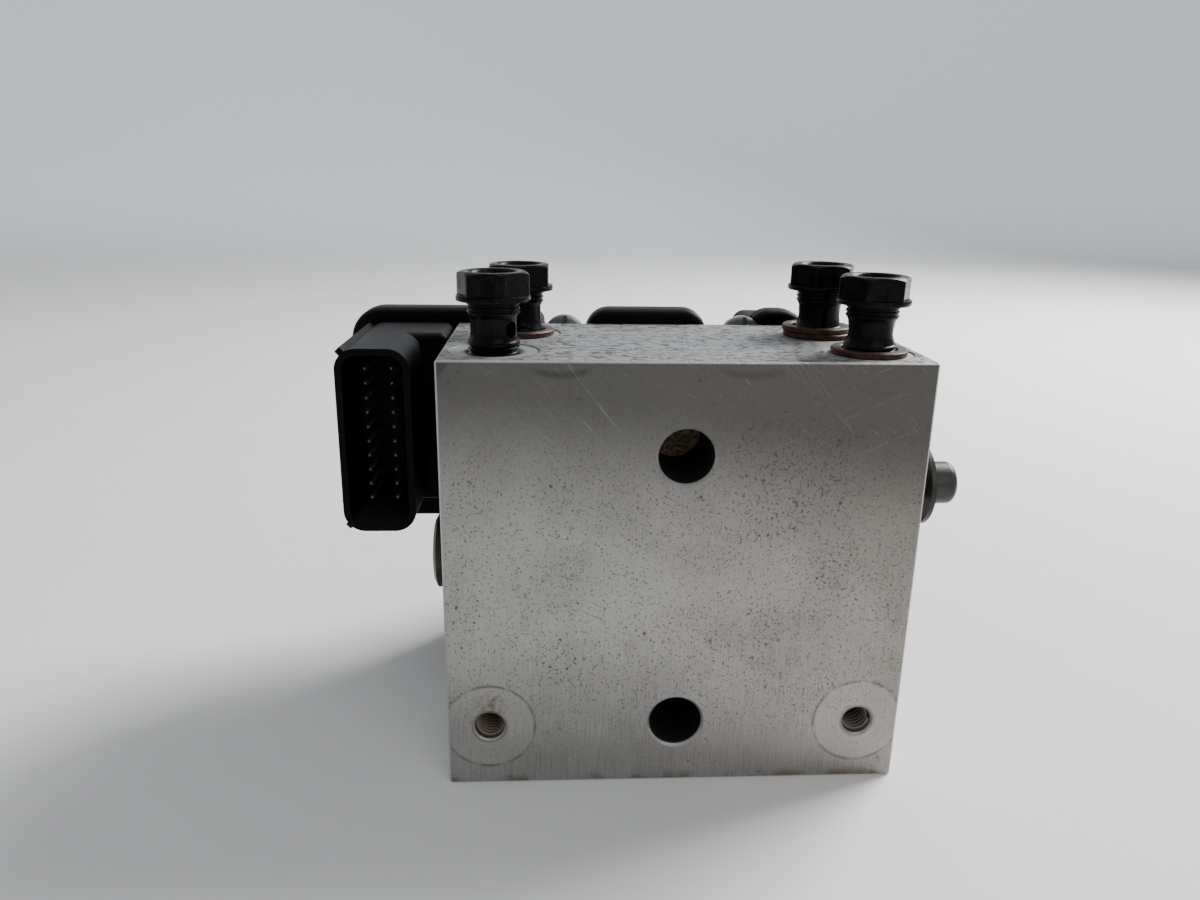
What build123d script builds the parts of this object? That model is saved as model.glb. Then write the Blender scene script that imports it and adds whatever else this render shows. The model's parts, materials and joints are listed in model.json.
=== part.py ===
from build123d import *
import math
import os

# Two-circuit anti-lock brake module: a machined valve block with four hose ports
# and, behind it, a plastic control unit that surrounds the pump motor.
# Millimetres. The origin is the centre of the block's bottom face, +X runs to the
# right, +Y towards the control unit and +Z up. The block's plain front faces -Y.

# Valve block.
block_width = 92.0
block_depth = 44.0
block_height = 88.0
edge_break = 0.4

# Fits between round pieces, all radial.
running_gap = 0.05
seat_gap = 0.02
free_gap = 0.3

# Hose ports in the top face.
port_diameter = 10.0
port_depth = 14.0
port_mouth_chamfer = 0.5
front_port_x = 36.0
front_port_inset = 10.5
rear_port_x = 31.8
rear_port_inset = 31.0
spotface_diameter = 17.2
spotface_depth = 0.25
gallery_diameter = 3.5

# Banjo bolts and their copper washers.
bolt_flange_diameter = 13.9
bolt_flange_height = 1.1
bolt_hex = 12.0
bolt_head_height = 5.4
bolt_recess_diameter = 8.3
bolt_recess_depth = 1.6
bolt_collar_height = 2.3
bolt_waist_diameter = 8.7
bolt_waist_top = 3.1
bolt_waist_bottom = 6.4
bolt_flare_bottom = 8.0
bolt_length = 19.4
bolt_oil_bore = 4.6
bolt_cross_hole = 3.0
bolt_cross_hole_drop = 5.1
washer_diameter = 14.4
washer_bore = 10.6
washer_thickness = 1.2
# Each bolt stands as it was left: how far the flange's underside is above the
# block, the hexagon's turn and the cross hole's direction, in degrees from -Y.
bolt_stand = {
    "front_left": (9.4, 21.0, 55.0),
    "front_right": (9.3, 30.0, 70.0),
    "rear_left": (9.0, -1.0, -58.0),
    "rear_right": (9.6, 36.0, 68.0),
}

# Blind bores and tapped holes in the front face.
front_bore_diameter = 10.7
front_bore_depth = 18.0
front_bore_chamfer = 0.45
upper_bore_z = 70.0
lower_bore_z = 13.6
foot_hole_thread = 6.0
foot_hole_mouth = 6.6
foot_hole_depth = 15.0
foot_hole_x = 37.6
foot_hole_z = 13.2

# Pump: two pistons on one axis, driven by an eccentric on the motor's shaft.
pump_z = 42.5
eccentric_throw = 1.0
eccentric_radius = 5.4
ring_radius = 8.0
ring_width = 9.0
chamber_radius = 13.0
chamber_depth = 29.0
nose_bore_depth = 6.0
sleeve_radius = 5.9
sleeve_start = 17.0
sleeve_end = 36.0
piston_radius = 3.5
piston_length = 20.0
pump_spring_radius = 2.6
pump_spring_wire = 0.7
plug_radius = 7.9
plug_seat_depth = 8.0
plug_proud = 4.0
plug_dome = 0.9
plug_spring_pocket = 2.5

# Low-pressure accumulators, open to the bottom face.
accumulator_radius = 9.0
accumulator_depth = 24.0
accumulator_x = 19.5
accumulator_y = -10.0
accumulator_piston_height = 8.0
accumulator_piston_wall = 1.6
accumulator_piston_drop = 2.0
accumulator_cap_height = 3.0
accumulator_spring_radius = 5.6
accumulator_spring_wire = 1.5
seal_groove_width = 1.8
seal_groove_depth = 0.8
seal_section = 0.39

# Solenoid valves, pressed in from the rear face.
valve_x = 31.8
upper_valve_z = 62.5
lower_valve_z = 21.5
valve_radius = 5.5
valve_depth = 18.0
dome_radius = 4.0
dome_length = 16.0
dome_wall = 0.8
armature_length = 12.0
armature_travel = 0.4
needle_radius = 1.0
valve_seat_height = 4.0
coil_radius = 8.6
coil_flange = 1.2
coil_pin_radius = 0.5
coil_pin_offset = 6.0

# Pump motor.
can_radius = 21.0
can_wall = 1.4
can_length = 50.0
can_corner = 3.0
can_boss_radius = 8.0
can_boss_height = 3.2
motor_ear_x = 27.0
motor_ear_radius = 5.0
motor_ear_thickness = 2.5
motor_screw_radius = 2.0
motor_screw_head_radius = 3.6
motor_screw_head_height = 2.6
end_plate_thickness = 6.0
end_plate_spigot = 4.0
shaft_radius = 3.0
bearing_radius = 8.0
bearing_width = 5.0
rear_bearing_radius = 6.4
rear_bearing_width = 4.0
rear_bearing_play = 0.5
core_radius = 14.0
core_start = 17.5
core_tail_gap = 4.2
core_slots = 8
slot_depth = 6.2
slot_width = 3.2
slot_mouth = 1.4
slot_liner = 0.1
end_turn_height = 3.5
end_turn_gap = 0.1
bar_overhang = 1.0
commutator_radius = 7.0
commutator_length = 6.0
magnet_thickness = 4.6
magnet_angle = 130.0
brush_base = 1.8
brush_length = 7.0
brush_width = 5.0
brush_height = 3.6
guide_wall = 1.5
guide_start = 2.5
guide_length = 8.0
spigot_groove_start = 1.2
spigot_groove_end = 2.8
spigot_groove_depth = 1.35
spigot_seal_section = 0.66

# Control unit housing, cover and connector.
unit_half_width = 44.0
unit_bottom = 1.5
unit_shoulder = 80.0
unit_top = 91.3
unit_top_right = 34.5
unit_corner = 7.5
wing_left = -70.0
wing_bottom = 41.8
unit_wall = 2.2
unit_depth = 27.0
lip_thickness = 5.0
lip_step = 3.9
lip_round = 1.8
inner_corner = 2.0
rear_valley_corner = 3.0
rear_inner_corner = 0.8
rear_valley_widening = 2.0
deck_start = 18.0
deck_thickness = 2.2
deck_bond = 0.5
board_thickness = 1.6
board_stand = 2.4
board_post_radius = 2.0
frame_thickness = 1.2
cover_thickness = 3.0
cover_rim = 1.0
well_wall = 2.0
valley_half_width = 4.75
valley_floor = 83.4
valley_corner = 5.4
left_valley_x = -22.15
right_valley_x = 14.85
screw_x_left = -22.2
screw_x_right = 18.8
screw_z_top = 84.9
screw_head_radius = 4.7
screw_head_height = 2.8
screw_shank_radius = 2.0
screw_length = 6.0
fixing_radius = 2.5
fixing_head_radius = 4.4
fixing_head_height = 3.4
fixing_sleeve_radius = 4.6
fixing_depth = 10.0

# Connector: an upright shroud that reaches forward past the block's left face.
shroud_left = -66.3
shroud_right = -52.1
shroud_bottom = 51.2
shroud_top = 88.0
shroud_corner = 4.2
shroud_wall = 1.3
shroud_front = -11.0
shroud_floor = 6.0
shelf_right = -46.8
shelf_front = 7.4
shelf_corner = 2.0
shelf_round = 1.4
pin_rows = 10
pin_pitch = 2.98
pin_column_gap = 5.2
pin_width = 0.64
pin_tip = -5.0
chip_height = 1.4
keel_thickness = 1.3
keel_height = 2.4
keel_setback = 1.5

# Mounting stud on the right face.
stud_z = 57.5
stud_hole_radius = 3.4
stud_hole_depth = 10.0
stud_neck_radius = 3.6
stud_flange_x = 7.4
stud_flange_radius = 8.8
stud_flange_thickness = 1.0
stud_flange_cone = 1.6
stud_head_radius = 4.55
stud_head_end = 15.2
stud_head_round = 1.6

# Places that follow from the sizes above.
front_y = -block_depth / 2
rear_y = block_depth / 2
right_x = block_width / 2
front_port_y = front_y + front_port_inset
rear_port_y = front_y + rear_port_inset
pump_y = 0.0
nose_start = rear_y - chamber_depth - nose_bore_depth
deck_front = rear_y + deck_start
deck_rear = deck_front + deck_thickness
board_front = deck_rear + board_stand
board_rear = board_front + board_thickness
unit_rear = rear_y + unit_depth
well_radius = can_radius + free_gap + 0.5
coil_length = deck_start - free_gap
connector_x = (shroud_left + shroud_right) / 2
connector_z = (shroud_top + shroud_bottom) / 2
piston_start = ring_radius + eccentric_throw + free_gap
piston_end = piston_start + piston_length
slot_middle = core_radius - 3.5
can_inner_end = can_length + can_boss_height - can_wall
rear_bearing_start = can_inner_end - rear_bearing_width - rear_bearing_play
core_end = rear_bearing_start - core_tail_gap - end_turn_height - end_turn_gap
core_length = core_end - core_start
screw_seat = rear_y + free_gap + screw_head_height
pocket_end = screw_seat + frame_thickness
unit_screws = [
    (screw_x_left, screw_z_top),
    (screw_x_right, screw_z_top),
    (screw_x_left, unit_bottom + unit_top - screw_z_top),
    (screw_x_right, unit_bottom + unit_top - screw_z_top),
]
fixings = [
    (5.6 - unit_half_width, pump_z),
    (unit_half_width - 5.6, pump_z),
    (0.0, block_height - 8.5),
    (0.0, unit_bottom + 6.5),
]
board_posts = [
    (wing_left + 9.0, wing_bottom + 8.5),
    (shroud_right + 2.1, unit_top - lip_step - 5.0),
    (-unit_half_width + 5.0, unit_bottom + 7.0),
    (unit_half_width - 5.0, unit_bottom + 7.0),
    (unit_top_right - 5.5, unit_top - lip_step - 6.0),
]
chip_places = {
    "processor": (-54.0, 68.0, 14.0, 14.0),
    "valve_driver": (-31.0, 73.0, 10.0, 8.0),
    "motor_driver": (25.0, 74.0, 9.0, 7.0),
    "pressure_chip": (-33.0, 16.0, 6.0, 6.0),
}
valves = {
    "upper_left": (-valve_x, upper_valve_z, -1),
    "upper_right": (valve_x, upper_valve_z, -1),
    "lower_left": (-valve_x, lower_valve_z, 1),
    "lower_right": (valve_x, lower_valve_z, 1),
}
bolt_places = {
    "front_left": (-front_port_x, front_port_y),
    "front_right": (front_port_x, front_port_y),
    "rear_left": (-rear_port_x, rear_port_y),
    "rear_right": (rear_port_x, rear_port_y),
}

FROM_START = (Align.CENTER, Align.CENTER, Align.MIN)
BESIDE = (Align.MIN, Align.CENTER, Align.MIN)


def rod_x(radius, start, end, y, z):
    """A round bar along X."""
    low = min(start, end)
    return Pos(low, y, z) * Rot(0, 90, 0) * Cylinder(radius, abs(end - start), align=FROM_START)


def rod_y(radius, start, end, x, z):
    """A round bar along Y."""
    low = min(start, end)
    return Pos(x, low, z) * Rot(-90, 0, 0) * Cylinder(radius, abs(end - start), align=FROM_START)


def rod_z(radius, start, end, x, y):
    """A round bar along Z."""
    low = min(start, end)
    return Pos(x, y, low) * Cylinder(radius, abs(end - start), align=FROM_START)


def turned(points):
    """A solid turned about Z from a profile of (radius, height) points."""
    return revolve(make_face(Plane.XZ * Polyline(*points, close=True)), Axis.Z)


def along_x(solid, side):
    """Turn a piece made along +Z so that it points along X, to the given side."""
    return Rot(0, 90 * side, 0) * solid


def along_y(solid):
    """Turn a piece made along +Z so that it points along +Y."""
    return Rot(-90, 0, 0) * solid


def plate_y(sketch, start, end):
    """Extrude a sketch drawn in X and Z from one place on Y to another."""
    level = Plane(origin=(0, start, 0), x_dir=(1, 0, 0), z_dir=(0, -1, 0))
    return extrude(level * sketch, amount=end - start, dir=(0, 1, 0))


def coil_spring(radius, wire, length, turns):
    """An open coil spring standing on Z = 0, inside its full length."""
    rise = length - wire
    path = Helix(pitch=rise / turns, height=rise, radius=radius)
    section = Plane(origin=path @ 0, z_dir=path % 0) * Circle(wire / 2)
    return Pos(0, 0, wire / 2) * sweep(section, path=path, is_frenet=True)


def direction(turn):
    """Unit step in plan for an angle counted from -Y towards +X."""
    angle = math.radians(turn)
    return math.sin(angle), -math.cos(angle)


def valve_block():
    """The aluminium block with every bore, gallery and tapped hole."""
    block = Box(block_width, block_depth, block_height, align=FROM_START)
    block = chamfer(block.edges(), edge_break)
    for x, y in bolt_places.values():
        block -= rod_z(port_diameter / 2, block_height - port_depth, block_height, x, y)
        block -= rod_z(spotface_diameter / 2, block_height - spotface_depth, block_height, x, y)
        mouth_radius = port_diameter / 2 + port_mouth_chamfer
        mouth = Cone(port_diameter / 2, mouth_radius, port_mouth_chamfer, align=FROM_START)
        block -= Pos(x, y, block_height - spotface_depth - port_mouth_chamfer) * mouth
    for side in (-1, 1):
        block -= pump_side_bores(side)
        block -= valve_side_bores(side)
        x = side * accumulator_x
        block -= rod_z(accumulator_radius, 0, accumulator_depth, x, accumulator_y)
        block -= rod_z(gallery_diameter / 2, 0, pump_z, x, accumulator_y + 5.0)
        block -= foot_hole(side)
    for z in (upper_bore_z, lower_bore_z):
        block -= rod_y(front_bore_diameter / 2, front_y, front_y + front_bore_depth, 0, z)
        mouth_radius = front_bore_diameter / 2 + front_bore_chamfer
        mouth = Cone(mouth_radius, front_bore_diameter / 2, front_bore_chamfer, align=FROM_START)
        block -= Pos(0, front_y, z) * along_y(mouth)
    block -= rod_y(chamber_radius, rear_y - chamber_depth, rear_y, 0, pump_z)
    block -= rod_y(shaft_radius + running_gap, nose_start, rear_y, 0, pump_z)
    block -= rod_x(stud_hole_radius, right_x - stud_hole_depth, right_x, 0, stud_z)
    for x, z in fixings:
        block -= rod_y(fixing_radius + seat_gap, rear_y - fixing_depth, rear_y, x, z)
    for side in (-1, 1):
        x = side * motor_ear_x
        block -= rod_y(motor_screw_radius + seat_gap, rear_y - fixing_depth, rear_y, x, pump_z)
    return block


def pump_side_bores(side):
    """The pump bore and the wider seat of its plug, on one side."""
    seat_start = right_x - plug_seat_depth
    bore = rod_x(sleeve_radius + seat_gap, 0, side * right_x, pump_y, pump_z)
    seat = rod_x(plug_radius + seat_gap, side * seat_start, side * right_x, pump_y, pump_z)
    return bore + seat


def valve_side_bores(side):
    """Two valve bores with the galleries that join them to the ports, on one side."""
    x = side * valve_x
    bottom = rear_y - valve_depth
    bores = rod_y(valve_radius, bottom, rear_y, x, upper_valve_z)
    bores += rod_y(valve_radius, bottom, rear_y, x, lower_valve_z)
    port_bottom = block_height - port_depth
    gallery = gallery_diameter / 2
    bores += rod_z(gallery, upper_valve_z, port_bottom, side * rear_port_x, rear_port_y)
    bores += rod_z(gallery, lower_valve_z, port_bottom, side * front_port_x, front_port_y)
    bores += rod_y(gallery, front_port_y, bottom, side * front_port_x, lower_valve_z)
    return bores


def foot_hole(side):
    """A tapped hole with a countersunk mouth, low in the front face."""
    x = side * foot_hole_x
    hole = rod_y(foot_hole_thread / 2, front_y, front_y + foot_hole_depth, x, foot_hole_z)
    lead = (foot_hole_mouth - foot_hole_thread) / 2
    mouth = Cone(foot_hole_mouth / 2, foot_hole_thread / 2, lead, align=FROM_START)
    return hole + Pos(x, front_y, foot_hole_z) * along_y(mouth)


def banjo_bolt(hex_turn, hole_turn):
    """A flanged banjo bolt whose flange rests on Z = 0 and whose shank hangs below."""
    flange = bolt_flange_diameter / 2
    collar = port_diameter / 2 - running_gap
    waist = bolt_waist_diameter / 2
    rim = 0.25
    shank = turned([
        (0, bolt_flange_height), (flange - rim, bolt_flange_height),
        (flange, bolt_flange_height - rim), (flange, rim), (flange - rim, 0),
        (collar, 0), (collar, -bolt_collar_height), (waist, -bolt_waist_top),
        (waist, -bolt_waist_bottom), (collar, -bolt_flare_bottom),
        (collar, 0.7 - bolt_length), (collar - 0.7, -bolt_length), (0, -bolt_length),
    ])
    prism = extrude(RegularPolygon(bolt_hex / 2, 6, major_radius=False), bolt_head_height)
    corner_radius = bolt_hex / math.sqrt(3)
    crown = turned([
        (0, 0), (corner_radius + 0.1, 0), (corner_radius + 0.1, bolt_head_height - 0.75),
        (bolt_hex / 2 - 0.2, bolt_head_height), (0, bolt_head_height),
    ])
    head = Rot(0, 0, hex_turn - 90) * (prism & crown)
    bolt = shank + head
    recess = bolt_recess_diameter / 2
    bolt -= rod_z(recess, bolt_head_height - bolt_recess_depth, bolt_head_height, 0, 0)
    mouth = Cone(recess, recess + 0.5, 0.5, align=FROM_START)
    bolt -= Pos(0, 0, bolt_head_height - 0.5) * mouth
    bolt -= rod_z(bolt_oil_bore / 2, -bolt_length, -bolt_cross_hole_drop, 0, 0)
    cross = Rot(0, 0, hole_turn - 90) * rod_x(bolt_cross_hole / 2, -flange, flange, 0, 0)
    bolt -= Pos(0, 0, -bolt_cross_hole_drop) * cross
    return bolt


def washer():
    """A crush washer with eased edges, resting on Z = 0."""
    ring = Cylinder(washer_diameter / 2, washer_thickness, align=FROM_START)
    ring -= Cylinder(washer_bore / 2, washer_thickness, align=FROM_START)
    return chamfer(ring.edges(), 0.2)


def mounting_stud():
    """The flanged stud with a rounded head, pointing along +Z from the block's face."""
    flange_back = stud_flange_x
    flange_front = flange_back + stud_flange_thickness
    cone_top = flange_front + stud_flange_cone
    stud = turned([
        (0, -stud_hole_depth + 1.0), (stud_hole_radius - running_gap, -stud_hole_depth + 1.0),
        (stud_hole_radius - running_gap, 0), (stud_neck_radius, 0), (stud_neck_radius, flange_back),
        (stud_flange_radius, flange_back), (stud_flange_radius, flange_front),
        (stud_head_radius, cone_top), (stud_head_radius, stud_head_end), (0, stud_head_end),
    ])
    rim = stud.edges().filter_by(GeomType.CIRCLE).sort_by(Axis.Z)[-1]
    return fillet(rim, stud_head_round)


def pump_plug():
    """The plug that closes a pump bore, pointing outwards along +Z from the block's face."""
    pocket = pump_spring_radius + pump_spring_wire / 2 + free_gap
    plug = turned([
        (0, -plug_seat_depth), (plug_radius, -plug_seat_depth), (plug_radius, plug_proud - plug_dome),
        (plug_radius - 1.2, plug_proud - 0.25), (0, plug_proud),
    ])
    return plug - rod_z(pocket, -plug_seat_depth, plug_spring_pocket - plug_seat_depth, 0, 0)


def pump_sleeve():
    """The hard liner that the piston slides in, along +Z from the pump's centre."""
    sleeve = Cylinder(sleeve_radius, sleeve_end - sleeve_start, align=FROM_START)
    sleeve -= Cylinder(piston_radius + running_gap, sleeve_end - sleeve_start, align=FROM_START)
    return Pos(0, 0, sleeve_start) * chamfer(sleeve.edges(), 0.3)


def pump_piston():
    """A ground piston with a rounded nose, along +Z from the pump's centre."""
    piston = Pos(0, 0, piston_start) * Cylinder(piston_radius, piston_length, align=FROM_START)
    piston = chamfer(piston.edges(), 0.4)
    return piston - rod_z(1.2, piston_end - 9.0, piston_end, 0, 0)


def pump_spring():
    """The spring between a piston and its plug, along +Z from the pump's centre."""
    start = piston_end + seat_gap
    end = right_x - plug_seat_depth + plug_spring_pocket - seat_gap
    return Pos(0, 0, start) * coil_spring(pump_spring_radius, pump_spring_wire, end - start, 5)


def accumulator_piston():
    """A cup that slides in an accumulator bore, open downwards."""
    top = accumulator_depth - accumulator_piston_drop
    bottom = top - accumulator_piston_height
    outer = accumulator_radius - running_gap
    cup = rod_z(outer, bottom, top, 0, 0)
    cup = chamfer(cup.edges(), 0.5)
    cup -= rod_z(outer - accumulator_piston_wall, bottom, top - accumulator_piston_wall, 0, 0)
    groove_z = bottom + accumulator_piston_height / 2
    groove_low = groove_z - seal_groove_width / 2
    groove_high = groove_z + seal_groove_width / 2
    groove = rod_z(accumulator_radius, groove_low, groove_high, 0, 0)
    groove -= rod_z(outer - seal_groove_depth, groove_low, groove_high, 0, 0)
    return cup - groove


def accumulator_seal():
    """The ring seal in an accumulator piston's groove."""
    z = accumulator_depth - accumulator_piston_drop - accumulator_piston_height / 2
    middle = accumulator_radius - running_gap - seal_groove_depth / 2
    return Pos(0, 0, z) * Torus(middle, seal_section)


def accumulator_spring():
    """The spring that holds an accumulator piston up."""
    start = accumulator_cap_height + seat_gap
    end = accumulator_depth - accumulator_piston_drop - accumulator_piston_wall - seat_gap
    return Pos(0, 0, start) * coil_spring(
        accumulator_spring_radius, accumulator_spring_wire, end - start, 4.5)


def accumulator_cap():
    """The pressed cap that closes an accumulator from below."""
    outer = accumulator_radius - seat_gap
    cap = turned([
        (0, 0.4), (outer - 2.0, 0.4), (outer - 1.6, 0.1), (outer - 0.3, 0.1), (outer, 0.4),
        (outer, accumulator_cap_height), (0, accumulator_cap_height),
    ])
    return cap


def valve_cartridge():
    """A valve's body and pressure tube, along +Z with the block's rear face at zero."""
    body = valve_radius - seat_gap
    bore = dome_radius - dome_wall
    seat = valve_seat_height - valve_depth
    cartridge = turned([
        (0, -valve_depth), (body - 0.8, -valve_depth), (body, -valve_depth + 0.8), (body, 0),
        (dome_radius, 0), (dome_radius, dome_length - 1.5), (dome_radius - 1.5, dome_length),
        (0, dome_length), (0, dome_length - 1.0), (bore, dome_length - 1.8), (bore, -1.0),
        (needle_radius + 0.4, -1.0), (needle_radius + 0.4, seat), (0, seat),
    ])
    cartridge -= rod_z(0.6, -valve_depth, seat, 0, 0)
    side_port = rod_x(1.2, -valve_radius, valve_radius, 0, seat + 3.0)
    return cartridge - side_port


def valve_armature(travel_side):
    """The steel plunger with its needle. An open valve's needle stands off its seat."""
    seat = valve_seat_height - valve_depth
    tip_gap = 0.1
    if travel_side < 0:
        tip_gap += armature_travel
    head = dome_radius - dome_wall - running_gap
    base = -0.4
    return turned([
        (0, seat + tip_gap), (0.4, seat + tip_gap), (needle_radius, seat + tip_gap + 1.4),
        (needle_radius, base), (head - 0.3, base), (head, base + 0.3),
        (head, base + armature_length - 0.3), (head - 0.3, base + armature_length),
        (0, base + armature_length),
    ])


def valve_coil():
    """A wound coil between two bobbin flanges, from just behind the block to the deck."""
    start = free_gap
    bore = dome_radius + 0.15
    winding = coil_radius - 1.0
    coil = turned([
        (bore, start), (coil_radius, start), (coil_radius, start + coil_flange),
        (winding, start + coil_flange), (winding, start + coil_length - coil_flange),
        (coil_radius, start + coil_length - coil_flange), (coil_radius, start + coil_length),
        (bore, start + coil_length),
    ])
    pin_end = board_front - rear_y
    for side in (-1, 1):
        coil += rod_z(coil_pin_radius, start + coil_length - 1.0, pin_end, side * coil_pin_offset, 0)
    return coil


def motor_can():
    """The drawn steel can with its bearing boss, open towards the block."""
    front = end_plate_thickness
    boss_inner = rear_bearing_radius + seat_gap
    outer = turned([
        (0, front), (can_radius, front), (can_radius, can_length - can_corner),
        (can_radius - can_corner, can_length), (can_boss_radius, can_length),
        (can_boss_radius, can_length + can_boss_height - 1.0),
        (can_boss_radius - 1.0, can_length + can_boss_height), (0, can_length + can_boss_height),
    ])
    inner_radius = can_radius - can_wall
    inner = turned([
        (0, front), (inner_radius, front), (inner_radius, can_length - can_corner),
        (inner_radius - can_corner + 0.6, can_length - can_wall),
        (boss_inner, can_length - can_wall), (boss_inner, can_inner_end), (0, can_inner_end),
    ])
    return outer - inner


def motor_end_plate():
    """The plate that carries the can, the front bearing and two fixing ears."""
    plate = Cylinder(can_radius, end_plate_thickness, align=FROM_START)
    for side in (-1, 1):
        ear = Cylinder(motor_ear_radius, motor_ear_thickness, align=FROM_START)
        arm = Box(motor_ear_x, 2 * motor_ear_radius, motor_ear_thickness, align=FROM_START)
        plate += Pos(side * motor_ear_x, 0, 0) * ear
        plate += Pos(side * motor_ear_x / 2, 0, 0) * arm
    for side in (-1, 1):
        plate -= rod_z(motor_screw_radius + 0.3, 0, motor_ear_thickness, side * motor_ear_x, 0)
    plate += rod_z(chamber_radius - running_gap, -end_plate_spigot, 0, 0, 0)
    seat = end_plate_thickness - bearing_width
    plate -= rod_z(bearing_radius + seat_gap, seat, end_plate_thickness, 0, 0)
    plate -= rod_z(bearing_radius - 1.5, -end_plate_spigot, seat, 0, 0)
    spigot_radius = chamber_radius - running_gap
    groove_floor = spigot_radius - spigot_groove_depth
    groove = rod_z(chamber_radius, -spigot_groove_end, -spigot_groove_start, 0, 0)
    groove -= rod_z(groove_floor, -spigot_groove_end, -spigot_groove_start, 0, 0)
    return plate - groove


def motor_seal_ring():
    """The O-ring in the end plate's spigot."""
    middle = chamber_radius - running_gap - spigot_groove_depth / 2
    level = -(spigot_groove_start + spigot_groove_end) / 2
    return Pos(0, 0, level) * Torus(middle, spigot_seal_section)


def ball_bearing(outer, bore, width):
    """A shielded bearing on Z = 0."""
    ring = Cylinder(outer, width, align=FROM_START) - Cylinder(bore, width, align=FROM_START)
    groove = Cylinder(outer - 1.2, 0.3, align=FROM_START) - Cylinder(bore + 1.0, 0.3, align=FROM_START)
    return ring - groove - Pos(0, 0, width - 0.3) * groove


def motor_shaft():
    """The shaft with its eccentric, along +Z with the block's rear face at zero."""
    nose = nose_start - rear_y + 0.5
    tail = can_inner_end - rear_bearing_play
    shaft = rod_z(shaft_radius, -rear_y + ring_width / 2, tail, 0, 0)
    shaft += rod_z(shaft_radius, nose, -rear_y, 0, 0)
    shaft += rod_z(eccentric_radius, -rear_y - ring_width / 2, -rear_y + ring_width / 2, 0, eccentric_throw)
    return shaft


def eccentric_ring():
    """The bearing ring that rolls on the eccentric and pushes the pistons."""
    ring = Cylinder(ring_radius, ring_width, align=FROM_START)
    ring -= Cylinder(eccentric_radius + running_gap, ring_width, align=FROM_START)
    ring = chamfer(ring.edges().filter_by(GeomType.CIRCLE).sort_by(SortBy.RADIUS)[-2:], 0.5)
    return Pos(0, eccentric_throw, -rear_y - ring_width / 2) * ring


def slot_bars(radius, length):
    """The bars that fill the rotor's slots."""
    bars = None
    for step in range(core_slots):
        bar = Box(slot_depth - 2 * slot_liner, slot_width - 2 * slot_liner, length, align=FROM_START)
        bar = Pos(radius, 0, 0) * bar
        bar = Rot(0, 0, 360 * step / core_slots) * bar
        bars = bar if bars is None else bars + bar
    return bars


def rotor_core():
    """The slotted steel core on the shaft."""
    core = Cylinder(core_radius, core_length, align=FROM_START)
    core -= Cylinder(shaft_radius + seat_gap, core_length, align=FROM_START)
    for step in range(core_slots):
        angle = 360 * step / core_slots
        slot = Pos(slot_middle, 0, 0) * Box(slot_depth, slot_width, core_length, align=FROM_START)
        mouth = Box(slot_depth, slot_mouth, core_length, align=FROM_START)
        mouth = Pos(core_radius, 0, 0) * mouth
        core -= Rot(0, 0, angle) * slot
        core -= Rot(0, 0, angle) * mouth
    return Pos(0, 0, core_start) * core


def rotor_windings():
    """Copper bars in the slots, joined by the end turns at both ends of the core."""
    ring = Cylinder(core_radius - 0.6, end_turn_height, align=FROM_START)
    ring -= Cylinder(shaft_radius + 2.4, end_turn_height, align=FROM_START)
    ring = chamfer(ring.edges(), 0.8)
    bars = slot_bars(slot_middle, core_length + 2 * bar_overhang)
    windings = Pos(0, 0, core_start - bar_overhang) * bars
    windings += Pos(0, 0, core_start - end_turn_height - end_turn_gap) * ring
    windings += Pos(0, 0, core_end + end_turn_gap) * ring
    return windings


def commutator():
    """The copper-barred drum that the brushes press on."""
    drum = Cylinder(commutator_radius, commutator_length, align=FROM_START)
    drum -= Cylinder(shaft_radius + seat_gap, commutator_length, align=FROM_START)
    for step in range(2 * core_slots):
        cut = Pos(commutator_radius, 0, 0) * Box(1.2, 0.5, commutator_length, align=FROM_START)
        drum -= Rot(0, 0, 180 * step / core_slots) * cut
    return Pos(0, 0, end_plate_thickness + 0.6) * drum


def motor_magnets():
    """Two curved magnets against the can's wall."""
    outer = can_radius - can_wall - seat_gap
    length = core_length + 2 * bar_overhang
    ring = Cylinder(outer, length, align=FROM_START)
    ring -= Cylinder(outer - magnet_thickness, length, align=FROM_START)
    gap = 2 * outer * math.cos(math.radians(magnet_angle / 2))
    ring -= Box(3 * outer, gap, length, align=FROM_START)
    return Pos(0, 0, core_start - bar_overhang) * ring


def motor_brushes():
    """Two carbon brushes on the commutator."""
    start = commutator_radius + 0.05
    z = end_plate_thickness + brush_base
    brush = Pos(start, 0, z) * Box(brush_length, brush_width, brush_height, align=BESIDE)
    return Compound(children=[brush, Rot(0, 0, 180) * brush])


def brush_holder():
    """The moulded ring on the end plate with a guide round each brush."""
    outer = can_radius - can_wall - 0.2
    ring = rod_z(outer, end_plate_thickness, end_plate_thickness + brush_base - seat_gap, 0, 0)
    ring -= rod_z(bearing_radius + 0.5, 0, 2 * end_plate_thickness, 0, 0)
    guide_height = brush_base + brush_height + guide_wall
    guide = Box(guide_length, brush_width + 2 * guide_wall, guide_height, align=BESIDE)
    guide = Pos(commutator_radius + guide_start, 0, end_plate_thickness) * guide
    slot_length = guide_start + guide_length
    slot = Box(slot_length, brush_width + 2 * seat_gap, brush_height + 2 * seat_gap, align=BESIDE)
    slot = Pos(commutator_radius, 0, end_plate_thickness + brush_base - seat_gap) * slot
    for turn in (0, 180):
        ring += Rot(0, 0, turn) * guide
    for turn in (0, 180):
        ring -= Rot(0, 0, turn) * slot
    return ring


def cap_screw(radius, head_radius, head_height, length):
    """A socket-headed screw: shank up to Z = 0, head above."""
    screw = rod_z(radius, -length, 0, 0, 0)
    head = Cylinder(head_radius, head_height, align=FROM_START)
    head = chamfer(head.edges().sort_by(Axis.Z)[-1], 0.4)
    socket = extrude(RegularPolygon(head_radius * 0.55, 6), head_height)
    return screw + head - Pos(0, 0, head_height * 0.45) * socket


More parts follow.
